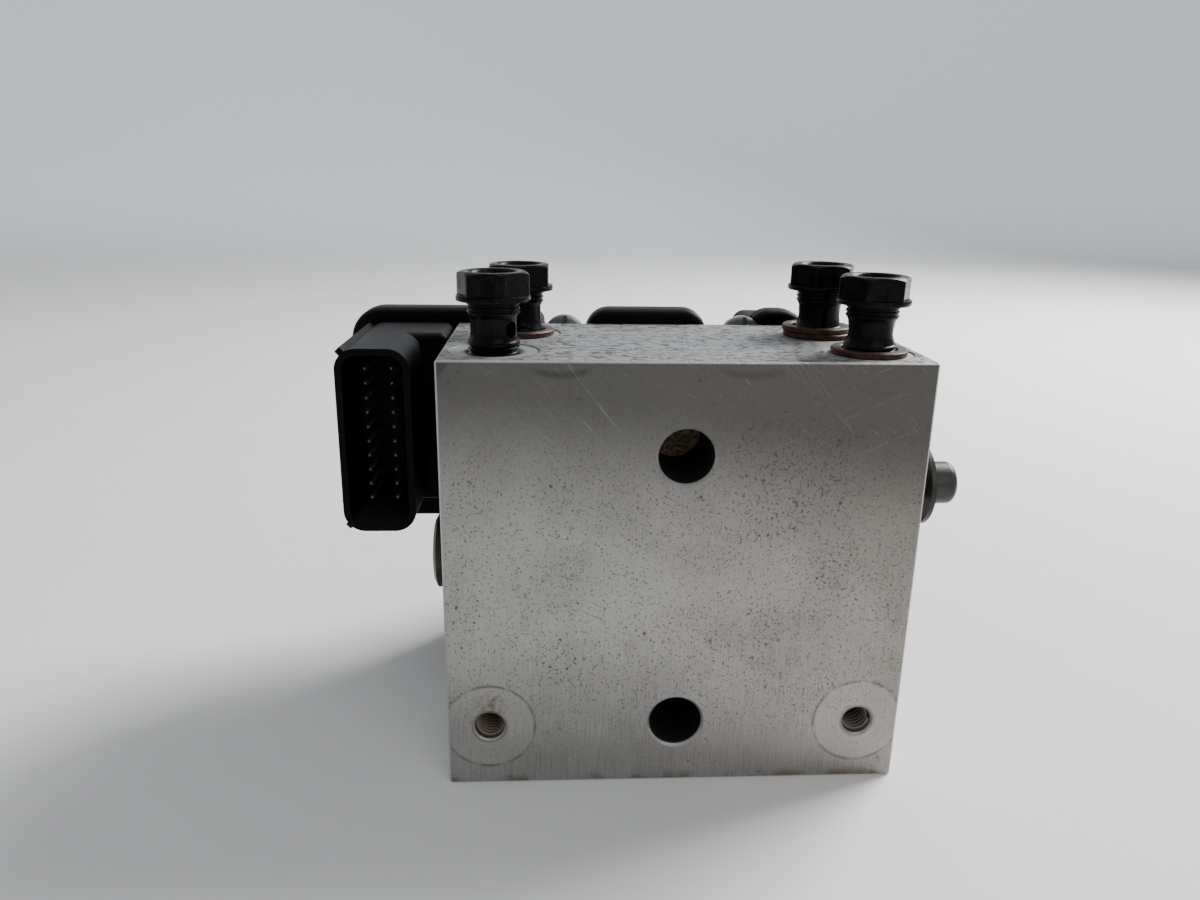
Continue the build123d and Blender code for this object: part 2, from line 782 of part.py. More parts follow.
def screws_at(places, seat, screw):
    """Copies of one screw along Y, each with its head resting at the seat."""
    return Compound(children=[Pos(x, seat, z) * along_y(screw) for x, z in places])


def housing_screws():
    """Round-headed screws that enter the housing from the front, behind the block."""
    shank = rod_z(screw_shank_radius, 0, screw_length, 0, 0)
    head = rod_z(screw_head_radius, -screw_head_height, 0, 0, 0)
    head = fillet(head.edges().sort_by(Axis.Z)[0], 1.2)
    slot = Box(1.0, 2 * screw_head_radius, 0.8, align=FROM_START)
    screw = shank + head - Pos(0, 0, -screw_head_height) * slot
    return screws_at(unit_screws, screw_seat, screw)


def mirrored_z(z):
    """The same place measured from the control unit's other end."""
    return unit_bottom + unit_top - z


def panel(left, right, bottom, top, radius):
    """A rounded rectangle in X and Z given by its sides."""
    return Pos((left + right) / 2, (bottom + top) / 2) * RectangleRounded(
        right - left, top - bottom, radius)


def unit_outline(inset, step=0.0):
    """The control unit seen from the front, with its scalloped edge, drawn in by inset.
    Behind the front lip its top edge and its wing are drawn in by a further step,
    and the top valleys are wider on their right."""
    radius = unit_corner - inset
    low = unit_bottom + inset
    high = unit_top - step - inset
    half = unit_half_width - inset
    outline = panel(-half, half, low, unit_shoulder - inset, radius)
    outline += panel(-half, unit_top_right - inset, unit_shoulder / 2, high, radius)
    wing_end = 2 * unit_corner - unit_half_width
    wing_low = wing_bottom + step + inset
    outline += panel(wing_left + step + inset, wing_end - inset, wing_low, high, radius)
    widening = rear_valley_widening if step else 0.0
    width = 2 * (valley_half_width + inset)
    depth = unit_top - valley_floor + inset + 1.0
    top_floor = valley_floor - inset
    bottom_floor = mirrored_z(top_floor)
    for x in (left_valley_x, right_valley_x):
        valley = Rectangle(width + widening, depth)
        outline -= Pos(x + widening / 2, top_floor + depth / 2) * valley
        outline -= Pos(x, bottom_floor - depth / 2) * Rectangle(width, depth)
    tip_radius = rear_valley_corner if step else valley_corner
    floor_radius = rear_inner_corner if step else inner_corner
    floor_corners = valley_corners(inset, top_floor, widening) + valley_corners(inset, bottom_floor)
    outline = rounded_at(outline, valley_corners(inset, high, widening), tip_radius - inset)
    outline = rounded_at(outline, valley_corners(inset, low), valley_corner - inset)
    outline = rounded_at(outline, floor_corners, floor_radius + inset)
    inner = [(-half, wing_low)]
    if not step:
        inner.append((unit_top_right - inset, unit_shoulder - inset))
    return rounded_at(outline, inner, inner_corner + inset)


def valley_corners(inset, level, widening=0.0):
    """Where the valleys' sides stand at one height of the control unit's outline."""
    reach = valley_half_width + inset
    sides = (-reach, reach + widening)
    return [(x + side, level) for x in (left_valley_x, right_valley_x) for side in sides]


def rounded_at(outline, places, radius):
    """Round the corners of an outline that lie at the given places."""
    corners = []
    for corner in outline.vertices():
        for x, z in places:
            if abs(corner.X - x) < 0.01 and abs(corner.Y - z) < 0.01:
                corners.append(corner)
    return fillet(corners, radius)


def front_opening(inset):
    """The opening in the housing's front that fits over valves and motor."""
    half = unit_half_width - unit_wall - inset
    low = unit_bottom + unit_wall + inset
    return panel(-half, half, low, unit_shoulder - unit_wall - inset, unit_corner - unit_wall)


def pin_bars(width, start, end):
    """The connector's pins as square bars, in two columns."""
    bars = []
    for column in (-0.5, 0.5):
        for row in range(pin_rows):
            x = connector_x + column * pin_column_gap
            z = connector_z + (row - (pin_rows - 1) / 2) * pin_pitch
            bar = Box(width, end - start, width, align=(Align.CENTER, Align.MIN, Align.CENTER))
            bars.append(Pos(x, start, z) * bar)
    return bars


def unit_housing():
    """The plastic housing: walls, a deck across it, the motor's well and the connector."""
    lip = plate_y(unit_outline(0), rear_y, rear_y + lip_thickness)
    lip = fillet(lip.edges().group_by(Axis.Y)[0], lip_round)
    housing = lip + plate_y(unit_outline(0, lip_step), rear_y + lip_thickness / 2, unit_rear)
    housing -= plate_y(unit_outline(unit_wall, lip_step), rear_y + unit_wall, unit_rear)
    housing -= plate_y(front_opening(0), rear_y, rear_y + unit_wall)
    deck = front_opening(-deck_bond) & unit_outline(unit_wall - deck_bond, lip_step)
    housing += plate_y(deck, deck_front, deck_rear)
    well_front = deck_front - 8.0
    housing += rod_y(well_radius + well_wall, well_front, unit_rear, 0, pump_z)
    housing -= rod_y(well_radius, rear_y, unit_rear, 0, pump_z)
    boss_end = screw_seat + screw_length + 0.7
    for x, z in unit_screws:
        housing += rod_y(screw_shank_radius + 1.4, rear_y, boss_end, x, z)
        housing -= rod_y(screw_head_radius + free_gap, rear_y, pocket_end, x, z)
        housing -= rod_y(screw_shank_radius + seat_gap, rear_y, boss_end - 0.4, x, z)
    for x, z in fixings:
        housing += rod_y(fixing_sleeve_radius, rear_y, unit_rear, x, z)
        housing -= rod_y(fixing_radius + free_gap, rear_y, unit_rear, x, z)
    for x, z in board_posts:
        housing += rod_y(board_post_radius, rear_y + unit_wall, board_front, x, z)
    for x, z, travel_side in valves.values():
        for side in (-1, 1):
            pin_x = x + side * coil_pin_offset
            housing -= rod_y(coil_pin_radius + free_gap, deck_front, deck_rear, pin_x, z)
    housing += connector_shroud()
    back = panel(
        shroud_left + shroud_wall, shroud_right - shroud_wall,
        shroud_bottom + shroud_wall, shroud_top - shroud_wall, shroud_corner - shroud_wall)
    housing -= plate_y(back, shroud_floor + unit_wall, rear_y + unit_wall)
    for hole in pin_bars(pin_width + 2 * seat_gap, shroud_floor - 4.0, shroud_floor + unit_wall + 1.0):
        housing -= hole
    return housing


def connector_shroud():
    """The upright socket that reaches forward beside the block, with its two keels."""
    outer = panel(shroud_left, shroud_right, shroud_bottom, shroud_top, shroud_corner)
    inner = panel(
        shroud_left + shroud_wall, shroud_right - shroud_wall,
        shroud_bottom + shroud_wall, shroud_top - shroud_wall, shroud_corner - shroud_wall)
    shroud = plate_y(outer, shroud_front, rear_y + unit_wall)
    shelf = panel(connector_x, shelf_right, shroud_bottom, shroud_top, shelf_corner)
    shelf = plate_y(shelf, shelf_front, rear_y + unit_wall)
    shroud += fillet(shelf.edges().group_by(Axis.Y)[0], shelf_round)
    shroud -= plate_y(inner, shroud_front, shroud_floor)
    for edge, tilt in ((shroud_top, -45), (shroud_bottom, 45)):
        keel = Box(keel_height, rear_y - shroud_front - keel_setback, keel_thickness,
                   align=(Align.CENTER, Align.MAX, Align.CENTER))
        inward = math.copysign(shroud_corner * 0.3, connector_z - edge)
        place = Pos(shroud_left + shroud_corner * 0.3, rear_y, edge + inward)
        shroud += place * Rot(0, -tilt, 0) * keel
    return shroud


def coil_frame():
    """The thin frame round the coils, held by an ear under each housing screw."""
    window = Pos(0, unit_shoulder / 2) * Rectangle(
        2 * (unit_half_width - unit_wall - 0.4), unit_shoulder)
    sketch = unit_outline(unit_wall + 0.4, lip_step) & window
    for x, z in unit_screws:
        inward = math.copysign(3.5, pump_z - z)
        sketch += Pos(x, z) * Circle(screw_head_radius - 0.1)
        sketch += Pos(x, z + inward) * Rectangle(6.0, 7.0)
    for x, z, travel_side in valves.values():
        sketch -= Pos(x, z) * Circle(coil_radius + free_gap)
    sketch -= Pos(0, pump_z) * Circle(can_radius + 0.5)
    for x, z in fixings:
        sketch -= Pos(x, z) * Circle(fixing_sleeve_radius + free_gap)
    for side in (-1, 1):
        sketch -= Pos(side * motor_ear_x, pump_z) * Circle(motor_screw_head_radius + free_gap)
    for x, z in unit_screws:
        sketch -= Pos(x, z) * Circle(screw_shank_radius + 0.2)
    for x, z in board_posts:
        sketch -= Pos(x, z) * Circle(board_post_radius + free_gap)
    return plate_y(sketch, screw_seat, pocket_end)


def unit_cover():
    """The flat rear cover, open for the motor, with a hole for each long screw."""
    cover = plate_y(unit_outline(0, lip_step), unit_rear, unit_rear + cover_thickness)
    cover = chamfer(cover.edges().group_by(Axis.Y)[-1], cover_rim)
    cover -= rod_y(well_radius, unit_rear, unit_rear + cover_thickness, 0, pump_z)
    for x, z in fixings:
        cover -= rod_y(fixing_radius + free_gap, unit_rear, unit_rear + cover_thickness, x, z)
    return cover


def circuit_board():
    """The board between the deck and the cover, cut round the motor's well."""
    board = plate_y(unit_outline(unit_wall + 0.6, lip_step), board_front, board_rear)
    board -= rod_y(well_radius + well_wall + 0.5, board_front, board_rear, 0, pump_z)
    cut_radius = fixing_sleeve_radius + 0.5
    for x, z in fixings:
        board -= rod_y(cut_radius, board_front, board_rear, x, z)
    for x, z in fixings[2:]:
        notch = Box(2 * cut_radius, 4 * board_thickness, unit_top - z)
        outward = math.copysign((unit_top - z) / 2, z - pump_z)
        board -= Pos(x, board_front, z + outward) * notch
    return board


def board_chips():
    """The processor, two drivers and a sensor chip on the board's rear side."""
    chips = []
    for name, (x, z, width, height) in chip_places.items():
        chip = Box(width, chip_height, height, align=(Align.CENTER, Align.MIN, Align.CENTER))
        chip = chamfer(chip.edges().filter_by(Axis.Y), 0.4)
        chips.append(Pos(x, board_rear, z) * chip)
    return Compound(children=chips)


def connector_pins():
    """Two columns of square pins from the socket to the board."""
    pins = []
    for bar in pin_bars(pin_width, pin_tip, board_front):
        tip = bar.faces().sort_by(Axis.Y)[0]
        pins.append(chamfer(tip.edges(), 0.18))
    return Compound(children=pins)


def place_pump(solid, side):
    """Put a piece made along +Z from the pump's centre on one side of the block."""
    return Pos(0, pump_y, pump_z) * along_x(solid, side)


def build_parts():
    """Every piece by name."""
    parts = {"valve_block": valve_block()}
    for name, (x, y) in bolt_places.items():
        lift, hex_turn, hole_turn = bolt_stand[name]
        parts["banjo_bolt_" + name] = Pos(x, y, block_height + lift) * banjo_bolt(hex_turn, hole_turn)
    washer_floor = block_height - spotface_depth
    for name in ("front_right", "rear_left"):
        x, y = bolt_places[name]
        parts["copper_washer_" + name] = Pos(x, y, washer_floor) * washer()
    x, y = bolt_places["rear_right"]
    lower = Pos(x, y, washer_floor) * washer()
    upper = Pos(x - 0.3, y + 0.2, washer_floor + washer_thickness) * washer()
    parts["copper_washers_rear_right"] = Compound(children=[lower, upper])
    parts["mounting_stud"] = Pos(right_x, 0, stud_z) * along_x(mounting_stud(), 1)
    for side, word in ((-1, "left"), (1, "right")):
        parts["pump_plug_" + word] = Pos(side * right_x, pump_y, pump_z) * along_x(pump_plug(), side)
        parts["pump_sleeve_" + word] = place_pump(pump_sleeve(), side)
        parts["pump_piston_" + word] = place_pump(pump_piston(), side)
        parts["pump_spring_" + word] = place_pump(pump_spring(), side)
        place = Pos(side * accumulator_x, accumulator_y, 0)
        parts["accumulator_piston_" + word] = place * accumulator_piston()
        parts["accumulator_spring_" + word] = place * accumulator_spring()
        parts["accumulator_cap_" + word] = place * accumulator_cap()
        parts["accumulator_seal_" + word] = place * accumulator_seal()
    for name, (x, z, travel_side) in valves.items():
        place = Pos(x, rear_y, z)
        parts["valve_cartridge_" + name] = place * along_y(valve_cartridge())
        parts["valve_armature_" + name] = place * along_y(valve_armature(travel_side))
        parts["valve_coil_" + name] = place * along_y(valve_coil())
    place = Pos(0, rear_y, pump_z)
    parts["motor_can"] = place * along_y(motor_can())
    parts["motor_end_plate"] = place * along_y(motor_end_plate())
    front_bearing = ball_bearing(bearing_radius, shaft_radius + seat_gap, bearing_width)
    front_bearing_start = end_plate_thickness - bearing_width
    parts["motor_front_bearing"] = place * Pos(0, front_bearing_start, 0) * along_y(front_bearing)
    rear_bearing = ball_bearing(rear_bearing_radius, shaft_radius + seat_gap, rear_bearing_width)
    parts["motor_rear_bearing"] = place * Pos(0, rear_bearing_start, 0) * along_y(rear_bearing)
    parts["motor_shaft"] = place * along_y(motor_shaft())
    parts["eccentric_ring"] = place * along_y(eccentric_ring())
    parts["rotor_core"] = place * along_y(rotor_core())
    parts["rotor_windings"] = place * along_y(rotor_windings())
    parts["commutator"] = place * along_y(commutator())
    parts["motor_magnets"] = place * along_y(motor_magnets())
    parts["motor_brushes"] = place * along_y(motor_brushes())
    parts["brush_holder"] = place * along_y(brush_holder())
    parts["motor_seal_ring"] = place * along_y(motor_seal_ring())
    parts["motor_screws"] = screws_at(
        [(-motor_ear_x, pump_z), (motor_ear_x, pump_z)], rear_y + motor_ear_thickness,
        cap_screw(motor_screw_radius, motor_screw_head_radius, motor_screw_head_height, fixing_depth))
    parts["unit_housing"] = unit_housing()
    parts["unit_cover"] = unit_cover()
    parts["circuit_board"] = circuit_board()
    parts["board_chips"] = board_chips()
    parts["connector_pins"] = connector_pins()
    parts["coil_frame"] = coil_frame()
    parts["housing_screws"] = housing_screws()
    cover_back = unit_rear + cover_thickness
    parts["fixing_screws"] = screws_at(
        fixings, cover_back,
        cap_screw(fixing_radius, fixing_head_radius, fixing_head_height,
                  cover_back - rear_y + fixing_depth - 2.0))
    return parts


os.makedirs("parts", exist_ok=True)
for part_name, part in build_parts().items():
    export_step(part, "parts/" + part_name + ".step")
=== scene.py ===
# %% Open the frame
import bpy
import json
import math
from mathutils import Matrix, Vector

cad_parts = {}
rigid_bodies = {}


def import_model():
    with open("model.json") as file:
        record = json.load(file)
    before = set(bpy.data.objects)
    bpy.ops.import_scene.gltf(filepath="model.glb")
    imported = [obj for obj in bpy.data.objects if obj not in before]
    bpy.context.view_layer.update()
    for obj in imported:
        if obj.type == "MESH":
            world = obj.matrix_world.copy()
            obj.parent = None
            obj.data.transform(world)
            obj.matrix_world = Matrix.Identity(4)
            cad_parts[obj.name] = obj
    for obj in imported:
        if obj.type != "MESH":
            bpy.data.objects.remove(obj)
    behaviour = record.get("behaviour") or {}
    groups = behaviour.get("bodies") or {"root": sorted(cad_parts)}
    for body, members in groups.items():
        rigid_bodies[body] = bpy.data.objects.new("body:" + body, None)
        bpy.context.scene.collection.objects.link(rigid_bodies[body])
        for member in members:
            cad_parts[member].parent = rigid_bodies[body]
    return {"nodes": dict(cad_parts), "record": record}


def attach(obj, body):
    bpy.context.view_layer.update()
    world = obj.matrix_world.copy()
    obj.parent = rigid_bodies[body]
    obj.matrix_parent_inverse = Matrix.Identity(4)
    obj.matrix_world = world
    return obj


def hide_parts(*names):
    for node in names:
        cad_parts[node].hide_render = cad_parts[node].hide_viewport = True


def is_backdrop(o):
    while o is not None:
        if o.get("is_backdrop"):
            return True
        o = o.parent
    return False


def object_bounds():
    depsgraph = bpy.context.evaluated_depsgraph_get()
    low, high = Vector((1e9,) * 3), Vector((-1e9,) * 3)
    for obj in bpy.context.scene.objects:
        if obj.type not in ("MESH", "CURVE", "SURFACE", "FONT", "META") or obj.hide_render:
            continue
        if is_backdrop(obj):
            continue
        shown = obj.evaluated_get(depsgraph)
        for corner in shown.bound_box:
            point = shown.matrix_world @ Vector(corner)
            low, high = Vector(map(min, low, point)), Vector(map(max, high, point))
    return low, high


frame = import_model()
cad_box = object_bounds()
nodes = frame["nodes"]
print("solids in the frame:", len(nodes))

# %% [markdown]
# The frame holds every solid of the brake module at its real place, in metres.
# Small parts are easier to think about in millimetres, so new pieces are modelled
# with one unit to a millimetre and are brought down to metres when they are finished.

# %% One millimetre
MM = 0.001


def show(title, *values):
    print(title + ":", *values)


# %% [markdown]
# The camera stands a little left of the module and looks slightly down on it, close
# enough for the block's top to be seen behind its front face. Its three directions
# are written out, because that fixes the view without any turning by angles.

# %% Camera
camera_data = bpy.data.cameras.new("bench_camera")
camera_data.sensor_width = 36.0
camera_data.lens = 26.97
camera_data.clip_start = 0.01
camera = bpy.data.objects.new("bench_camera", camera_data)
bpy.context.scene.collection.objects.link(camera)
to_right = Vector((0.998562, -0.051366, 0.015322))
to_top = Vector((0.000136, 0.288275, 0.957547))
to_viewer = Vector((-0.053602, -0.956169, 0.287868))
camera_turn = Matrix((to_right, to_top, to_viewer)).transposed().to_4x4()
camera.matrix_world = Matrix.Translation((-0.02512, -0.18037, 0.11911)) @ camera_turn
bpy.context.scene.camera = camera
show("camera at", tuple(round(v, 4) for v in camera.location))

# %% [markdown]
# A shader's sums are easier to read as Python than as a row of Math nodes. This class
# wraps one output socket, so that a + b, 1 - mask or noise * 0.5 adds the Math nodes
# behind the scenes. Colours go through Mix nodes instead, which keep all three channels.

# %% Sums on sockets
class Value:
    def __init__(self, finish, socket):
        self.finish = finish
        self.socket = socket

    def math(self, operation, *others):
        terms = dict(enumerate((self,) + others))
        return self.finish.node("Math", {"operation": operation}, terms)

    def __add__(self, other):
        return self.math("ADD", other)

    def __sub__(self, other):
        return self.math("SUBTRACT", other)

    def __rsub__(self, other):
        return self.finish.node("Math", {"operation": "SUBTRACT"}, {0: other, 1: self})

    def __mul__(self, other):
        return self.math("MULTIPLY", other)

    def __truediv__(self, other):
        return self.math("DIVIDE", other)

    __radd__ = __add__
    __rmul__ = __mul__

    def size(self):
        return self.math("ABSOLUTE")

    def root(self):
        return self.math("SQRT")

    def at_most(self, other):
        return self.math("MINIMUM", other)

    def at_least(self, other):
        return self.math("MAXIMUM", other)

    def ramp(self, low, high):
        """0 at low and 1 at high, eased between them. low may be the larger one."""
        settings = {"interpolation_type": "SMOOTHSTEP"}
        if low < high:
            return self.finish.node("MapRange", settings, {0: self, 1: low, 2: high})
        return 1 - self.finish.node("MapRange", settings, {0: self, 1: high, 2: low})


# %% [markdown]
# Every finish starts from the standard surface shader. Its patterns read the object's
# own coordinates in millimetres, so a scratch is as long as it is written and a pattern
# stays on its piece when the piece moves. The methods that follow are the patterns that
# more than one finish needs: noise, small spots, long fine lines and mixed colours.

# %% A finish and its patterns
class Finish:
    def __init__(self, name, roughness=0.5, metallic=0.0, **constants):
        self.material = bpy.data.materials.new(name)
        self.material.use_nodes = True
        self.tree = self.material.node_tree
        self.surface = self.tree.nodes["Principled BSDF"]
        for socket, amount in {"Roughness": roughness, "Metallic": metallic, **constants}.items():
            self.surface.inputs[socket].default_value = amount
        place = self.node("TexCoord", output="Object")
        self.place = self.node("VectorMath", {"operation": "SCALE"}, {0: place, "Scale": 1000.0})
        self.axes = [self.node("SeparateXYZ", {}, {0: self.place}, output=k) for k in range(3)]

    def node(self, kind, settings=None, inputs=None, output=0):
        """Add a node: first its settings, then values or links for its sockets."""
        made = self.tree.nodes.new("ShaderNode" + kind)
        for key, value in (settings or {}).items():
            setattr(made, key, value)
        for key, value in (inputs or {}).items():
            if isinstance(value, Value):
                self.tree.links.new(value.socket, made.inputs[key])
            else:
                made.inputs[key].default_value = value
        return Value(self, made.outputs[output])

    def stretched(self, stretch=(1, 1, 1), turn=(0, 0, 0), shift=(0, 0, 0)):
        """The place turned, moved and then multiplied, for patterns with a direction."""
        angles = tuple(math.radians(angle) for angle in turn)
        turned = self.node("Mapping", {}, {"Vector": self.place, "Rotation": angles, "Location": shift})
        return self.node("VectorMath", {"operation": "MULTIPLY"}, {0: turned, 1: stretch})

    def noise(self, scale, detail=3.0, roughness=0.55, place=None):
        inputs = {"Vector": place or self.place, "Scale": scale}
        inputs.update({"Detail": detail, "Roughness": roughness})
        return self.node("TexNoise", {}, inputs)

    def specks(self, scale, radius, share, place=None):
        """1 inside small spots that stand in a share of the cells, 0 elsewhere."""
        inputs = {"Vector": place or self.place, "Scale": scale}
        away = self.node("TexVoronoi", {}, inputs, output="Distance")
        cell = self.node("TexVoronoi", {}, inputs, output="Color")
        chance = self.node("SeparateColor", {}, {0: cell}, output=0)
        reach = away + (chance.ramp(share, share - 0.02) * -1 + 1) * 2
        return reach.ramp(radius, radius * 0.55)

    def scratches(self, scale, width, long, turn, share=0.5):
        """Fine long lines, broken up by a second, larger pattern."""
        place = self.stretched((1.0, 1.0, 1.0 / long), turn)
        lines = (self.noise(scale, 1.5, 0.5, place) - 0.5).size().ramp(width, 0.0)
        return lines * self.noise(scale * 0.12, 1.0, 0.5).ramp(share, share + 0.08)

    def mix(self, amount, first, second):
        inputs = {0: amount, 6: self.colour(first), 7: self.colour(second)}
        return self.node("Mix", {"data_type": "RGBA"}, inputs, output=2)

    def colour(self, value):
        return value if isinstance(value, Value) else (*value, 1.0)

    def set(self, **links):
        for name, value in links.items():
            self.tree.links.new(value.socket, self.surface.inputs[name.replace("_", " ")])

    def bump(self, height, depth, strength=1.0):
        """Relief whose full height is depth, in millimetres."""
        inputs = {"Height": height, "Distance": depth * MM, "Strength": strength}
        self.set(Normal=self.node("Bump", {}, inputs))


# %% [markdown]
# The module stands on a pale seamless sweep: a floor that turns up into a wall far
# behind it. A flat sheet is made first, its far edge is pulled up, and a wide bevel
# rounds the fold between the two.

# %% Floor and wall
FLOOR_WIDTH, FLOOR_DEPTH, WALL_HEIGHT = 7.0, 5.0, 3.0
FOLD_WIDTH = 1.2
bpy.ops.object.select_all(action="DESELECT")
bpy.ops.mesh.primitive_plane_add(size=1.0, location=(0, 0, 0))
sweep = bpy.context.object
sweep.name = "paper_sweep"
sweep.scale = (FLOOR_WIDTH, FLOOR_DEPTH, 1.0)
bpy.ops.object.transform_apply(location=True, rotation=True, scale=True)
bpy.ops.object.mode_set(mode="EDIT")
bpy.ops.mesh.select_all(action="DESELECT")
bpy.ops.object.mode_set(mode="OBJECT")
for edge in sweep.data.edges:
    edge.select = all(sweep.data.vertices[k].co.y > 0.0 for k in edge.vertices)
bpy.ops.object.mode_set(mode="EDIT")
bpy.ops.mesh.select_mode(type="EDGE")
bpy.ops.mesh.extrude_region_move(TRANSFORM_OT_translate={"value": (0, 0, WALL_HEIGHT)})
bpy.ops.object.mode_set(mode="OBJECT")
curve_up = sweep.modifiers.new("curve_up", "BEVEL")
curve_up.width = FOLD_WIDTH
curve_up.segments = 24
bpy.ops.object.modifier_apply(modifier=curve_up.name)
bpy.ops.object.shade_smooth()
show("sweep faces", len(sweep.data.polygons))

# %% [markdown]
# Its colour is that of pale grey paper, and it takes the module's shadow. The lamps
# hardly reach the far wall, so where the wall is looked at, straight or in a reflection,
# a faint glow makes up for that. Rays that only gather light don't meet the glow, so it
# doesn't light the module.

# %% Pale paper
paper = Finish("pale_paper", roughness=0.9, **{"Emission Strength": 1.0})
grain = paper.noise(0.02, 2.0)
floor_tone = paper.mix(grain, (0.82, 0.82, 0.81), (0.86, 0.86, 0.855))
on_wall = (paper.axes[1] + paper.axes[2] * 2.0).ramp(700.0, 2000.0)
paper.set(Base_Color=paper.mix(on_wall, floor_tone, (0.93, 0.94, 0.95)))
looked_at = paper.node("LightPath", output="Is Camera Ray")
for ray in ("Is Glossy Ray", "Is Transmission Ray"):
    looked_at = looked_at.at_least(paper.node("LightPath", output=ray))
paper.set(Emission_Color=paper.mix(on_wall * looked_at, (0.0, 0.0, 0.0), (0.24, 0.25, 0.275)))
sweep.data.materials.append(paper.material)
sweep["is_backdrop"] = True
show("paper finish nodes", len(paper.tree.nodes))

# %% [markdown]
# The light is plain: an even pale world, one broad soft lamp high up on the right and
# behind, which whitens upward faces and lays a soft shadow to the left, and a weak one
# in front. What is seen of the world, straight or in metal, is an even pale grey.

# %% World
world = bpy.data.worlds.new("pale_room")
bpy.context.scene.world = world
world.use_nodes = True
world_tree = world.node_tree
world_tree.nodes.clear()
rays = world_tree.nodes.new("ShaderNodeLightPath")
seen = world_tree.nodes.new("ShaderNodeMath")
seen.operation = "MAXIMUM"
seen_all = world_tree.nodes.new("ShaderNodeMath")
seen_all.operation = "MAXIMUM"
light = world_tree.nodes.new("ShaderNodeBackground")
backdrop = world_tree.nodes.new("ShaderNodeBackground")
either = world_tree.nodes.new("ShaderNodeMixShader")
target = world_tree.nodes.new("ShaderNodeOutputWorld")
light.inputs["Color"].default_value = (0.95, 0.97, 1.0, 1.0)
light.inputs["Strength"].default_value = 0.42
backdrop.inputs["Color"].default_value = (0.56, 0.565, 0.57, 1.0)
backdrop.inputs["Strength"].default_value = 1.0
wires = [
    (rays.outputs["Is Camera Ray"], seen.inputs[0]),
    (rays.outputs["Is Glossy Ray"], seen.inputs[1]),
    (seen.outputs[0], seen_all.inputs[0]),
    (rays.outputs["Is Transmission Ray"], seen_all.inputs[1]),
    (seen_all.outputs[0], either.inputs[0]),
    (light.outputs[0], either.inputs[1]),
    (backdrop.outputs[0], either.inputs[2]),
    (either.outputs[0], target.inputs["Surface"]),
]
for start, end in wires:
    world_tree.links.new(start, end)
show("world nodes", len(world_tree.nodes))

# %% [markdown]
# Both lamps are square sheets of light, aimed at the middle of the block.

# %% Lamps
BLOCK_MIDDLE = (0, 0, 0.05)


def soft_lamp(name, place, aim, size, power):
    """A square area lamp at a place, turned towards the point it lights."""
    data = bpy.data.lights.new(name, "AREA")
    data.shape = "SQUARE"
    data.size = size
    data.energy = power
    lamp = bpy.data.objects.new(name, data)
    bpy.context.scene.collection.objects.link(lamp)
    lamp.location = place
    lamp.rotation_euler = (Vector(aim) - Vector(place)).to_track_quat("-Z", "Y").to_euler()
    return lamp


soft_lamp("soft_top", (0.72, 0.48, 0.76), BLOCK_MIDDLE, 0.55, 25.0)
soft_lamp("soft_front", (0.5, -1.1, 0.8), BLOCK_MIDDLE, 1.0, 4.0)
show("lamps", [o.name for o in bpy.data.objects if o.type == "LIGHT"])

# %% [markdown]
# Marks on the block belong to its holes and edges, so the places of these are named
# once, in millimetres. On the front a place is given as across and up, on the top as
# across and back.

# %% Places on the block
LEFT_FACE, FRONT_FACE, TOP_FACE = -46.0, -22.0, 88.0
UPPER_BORE, LOWER_BORE = (0.0, 70.0), (0.0, 13.6)
LEFT_FOOT, RIGHT_FOOT = (-37.6, 13.2), (37.6, 13.2)
PORTS = {
    "front_left": (-36.0, -11.5),
    "front_right": (36.0, -11.5),
    "rear_left": (-31.8, 9.0),
    "rear_right": (31.8, 9.0),
}
show("ports", ", ".join(PORTS))

# %% [markdown]
# The block is extruded aluminium, milled on its front and left pale on its top. One
# finish covers it, and masks made from the place and the facing of the surface say
# where the front, the top and the bores are. On the front the cutter left fine upright
# lines. A painted dark reflection darkens the upper part of the front, a paler painted
# reflection lies on its lower left, and the metal turns warmer to the right.

# %% Machined aluminium of the block
block = Finish("machined_aluminium", roughness=0.42, metallic=0.85)
x, y, z = block.axes
facing = block.node("TexCoord", output="Normal")
face_y, face_z = [block.node("SeparateXYZ", {}, {0: facing}, output=k) for k in (1, 2)]
front = (face_y * -1).ramp(0.6, 0.9) * y.ramp(FRONT_FACE + 0.8, FRONT_FACE + 0.2)
top = face_z.ramp(0.6, 0.9) * z.ramp(TOP_FACE - 1.0, TOP_FACE - 0.4)


def away_from(px, pz):
    """Distance on the front face from one point, in millimetres."""
    return ((x - px) * (x - px) + (z - pz) * (z - pz)).root()


cloud = block.noise(0.05, 3.0)
patch = block.noise(0.22, 4.0)
fine = block.noise(3.5, 2.0)
lines = block.noise(1.0, 2.0, 0.6, block.stretched((5.0, 5.0, 0.12)))
low_half = z.ramp(60.0, 20.0)
tone = cloud.ramp(0.3, 0.7) * 0.5 + patch * 0.3 + fine * 0.2
cool_metal = block.mix(tone, (0.26, 0.257, 0.25), (0.40, 0.396, 0.386))
warm_metal = block.mix(tone, (0.27, 0.25, 0.23), (0.41, 0.385, 0.355))
aluminium = block.mix(x.ramp(-20.0, 44.0), cool_metal, warm_metal)
speckle = block.noise(2.3, 3.0, 0.7)
milled = (lines - 0.45) * (low_half * 0.7 + 0.25) + (speckle - 0.5) * 0.5
aluminium = block.mix(milled.at_least(0.0), aluminium, (0.66, 0.65, 0.625))
aluminium = block.mix((milled * -1).at_least(0.0), aluminium, (0.05, 0.05, 0.048))
aluminium = block.mix(front * x.ramp(-10.0, 46.0) * 0.2, aluminium, (0.10, 0.094, 0.086))
# Painted reflection: a paler patch on the lower left of the front.
painted_pale_reflection = z.ramp(52.0, 36.0) * z.ramp(16.0, 30.0) * x.ramp(20.0, -40.0)
aluminium = block.mix(front * painted_pale_reflection * 0.3, aluminium, (0.62, 0.615, 0.60))
# Painted shade standing for a dark reflection: the upper front is darkened, and the whole front a
# little.
painted_dark_reflection = (z + x * 0.12).ramp(50.0, 80.0) * (0.9 + cloud * 0.2)
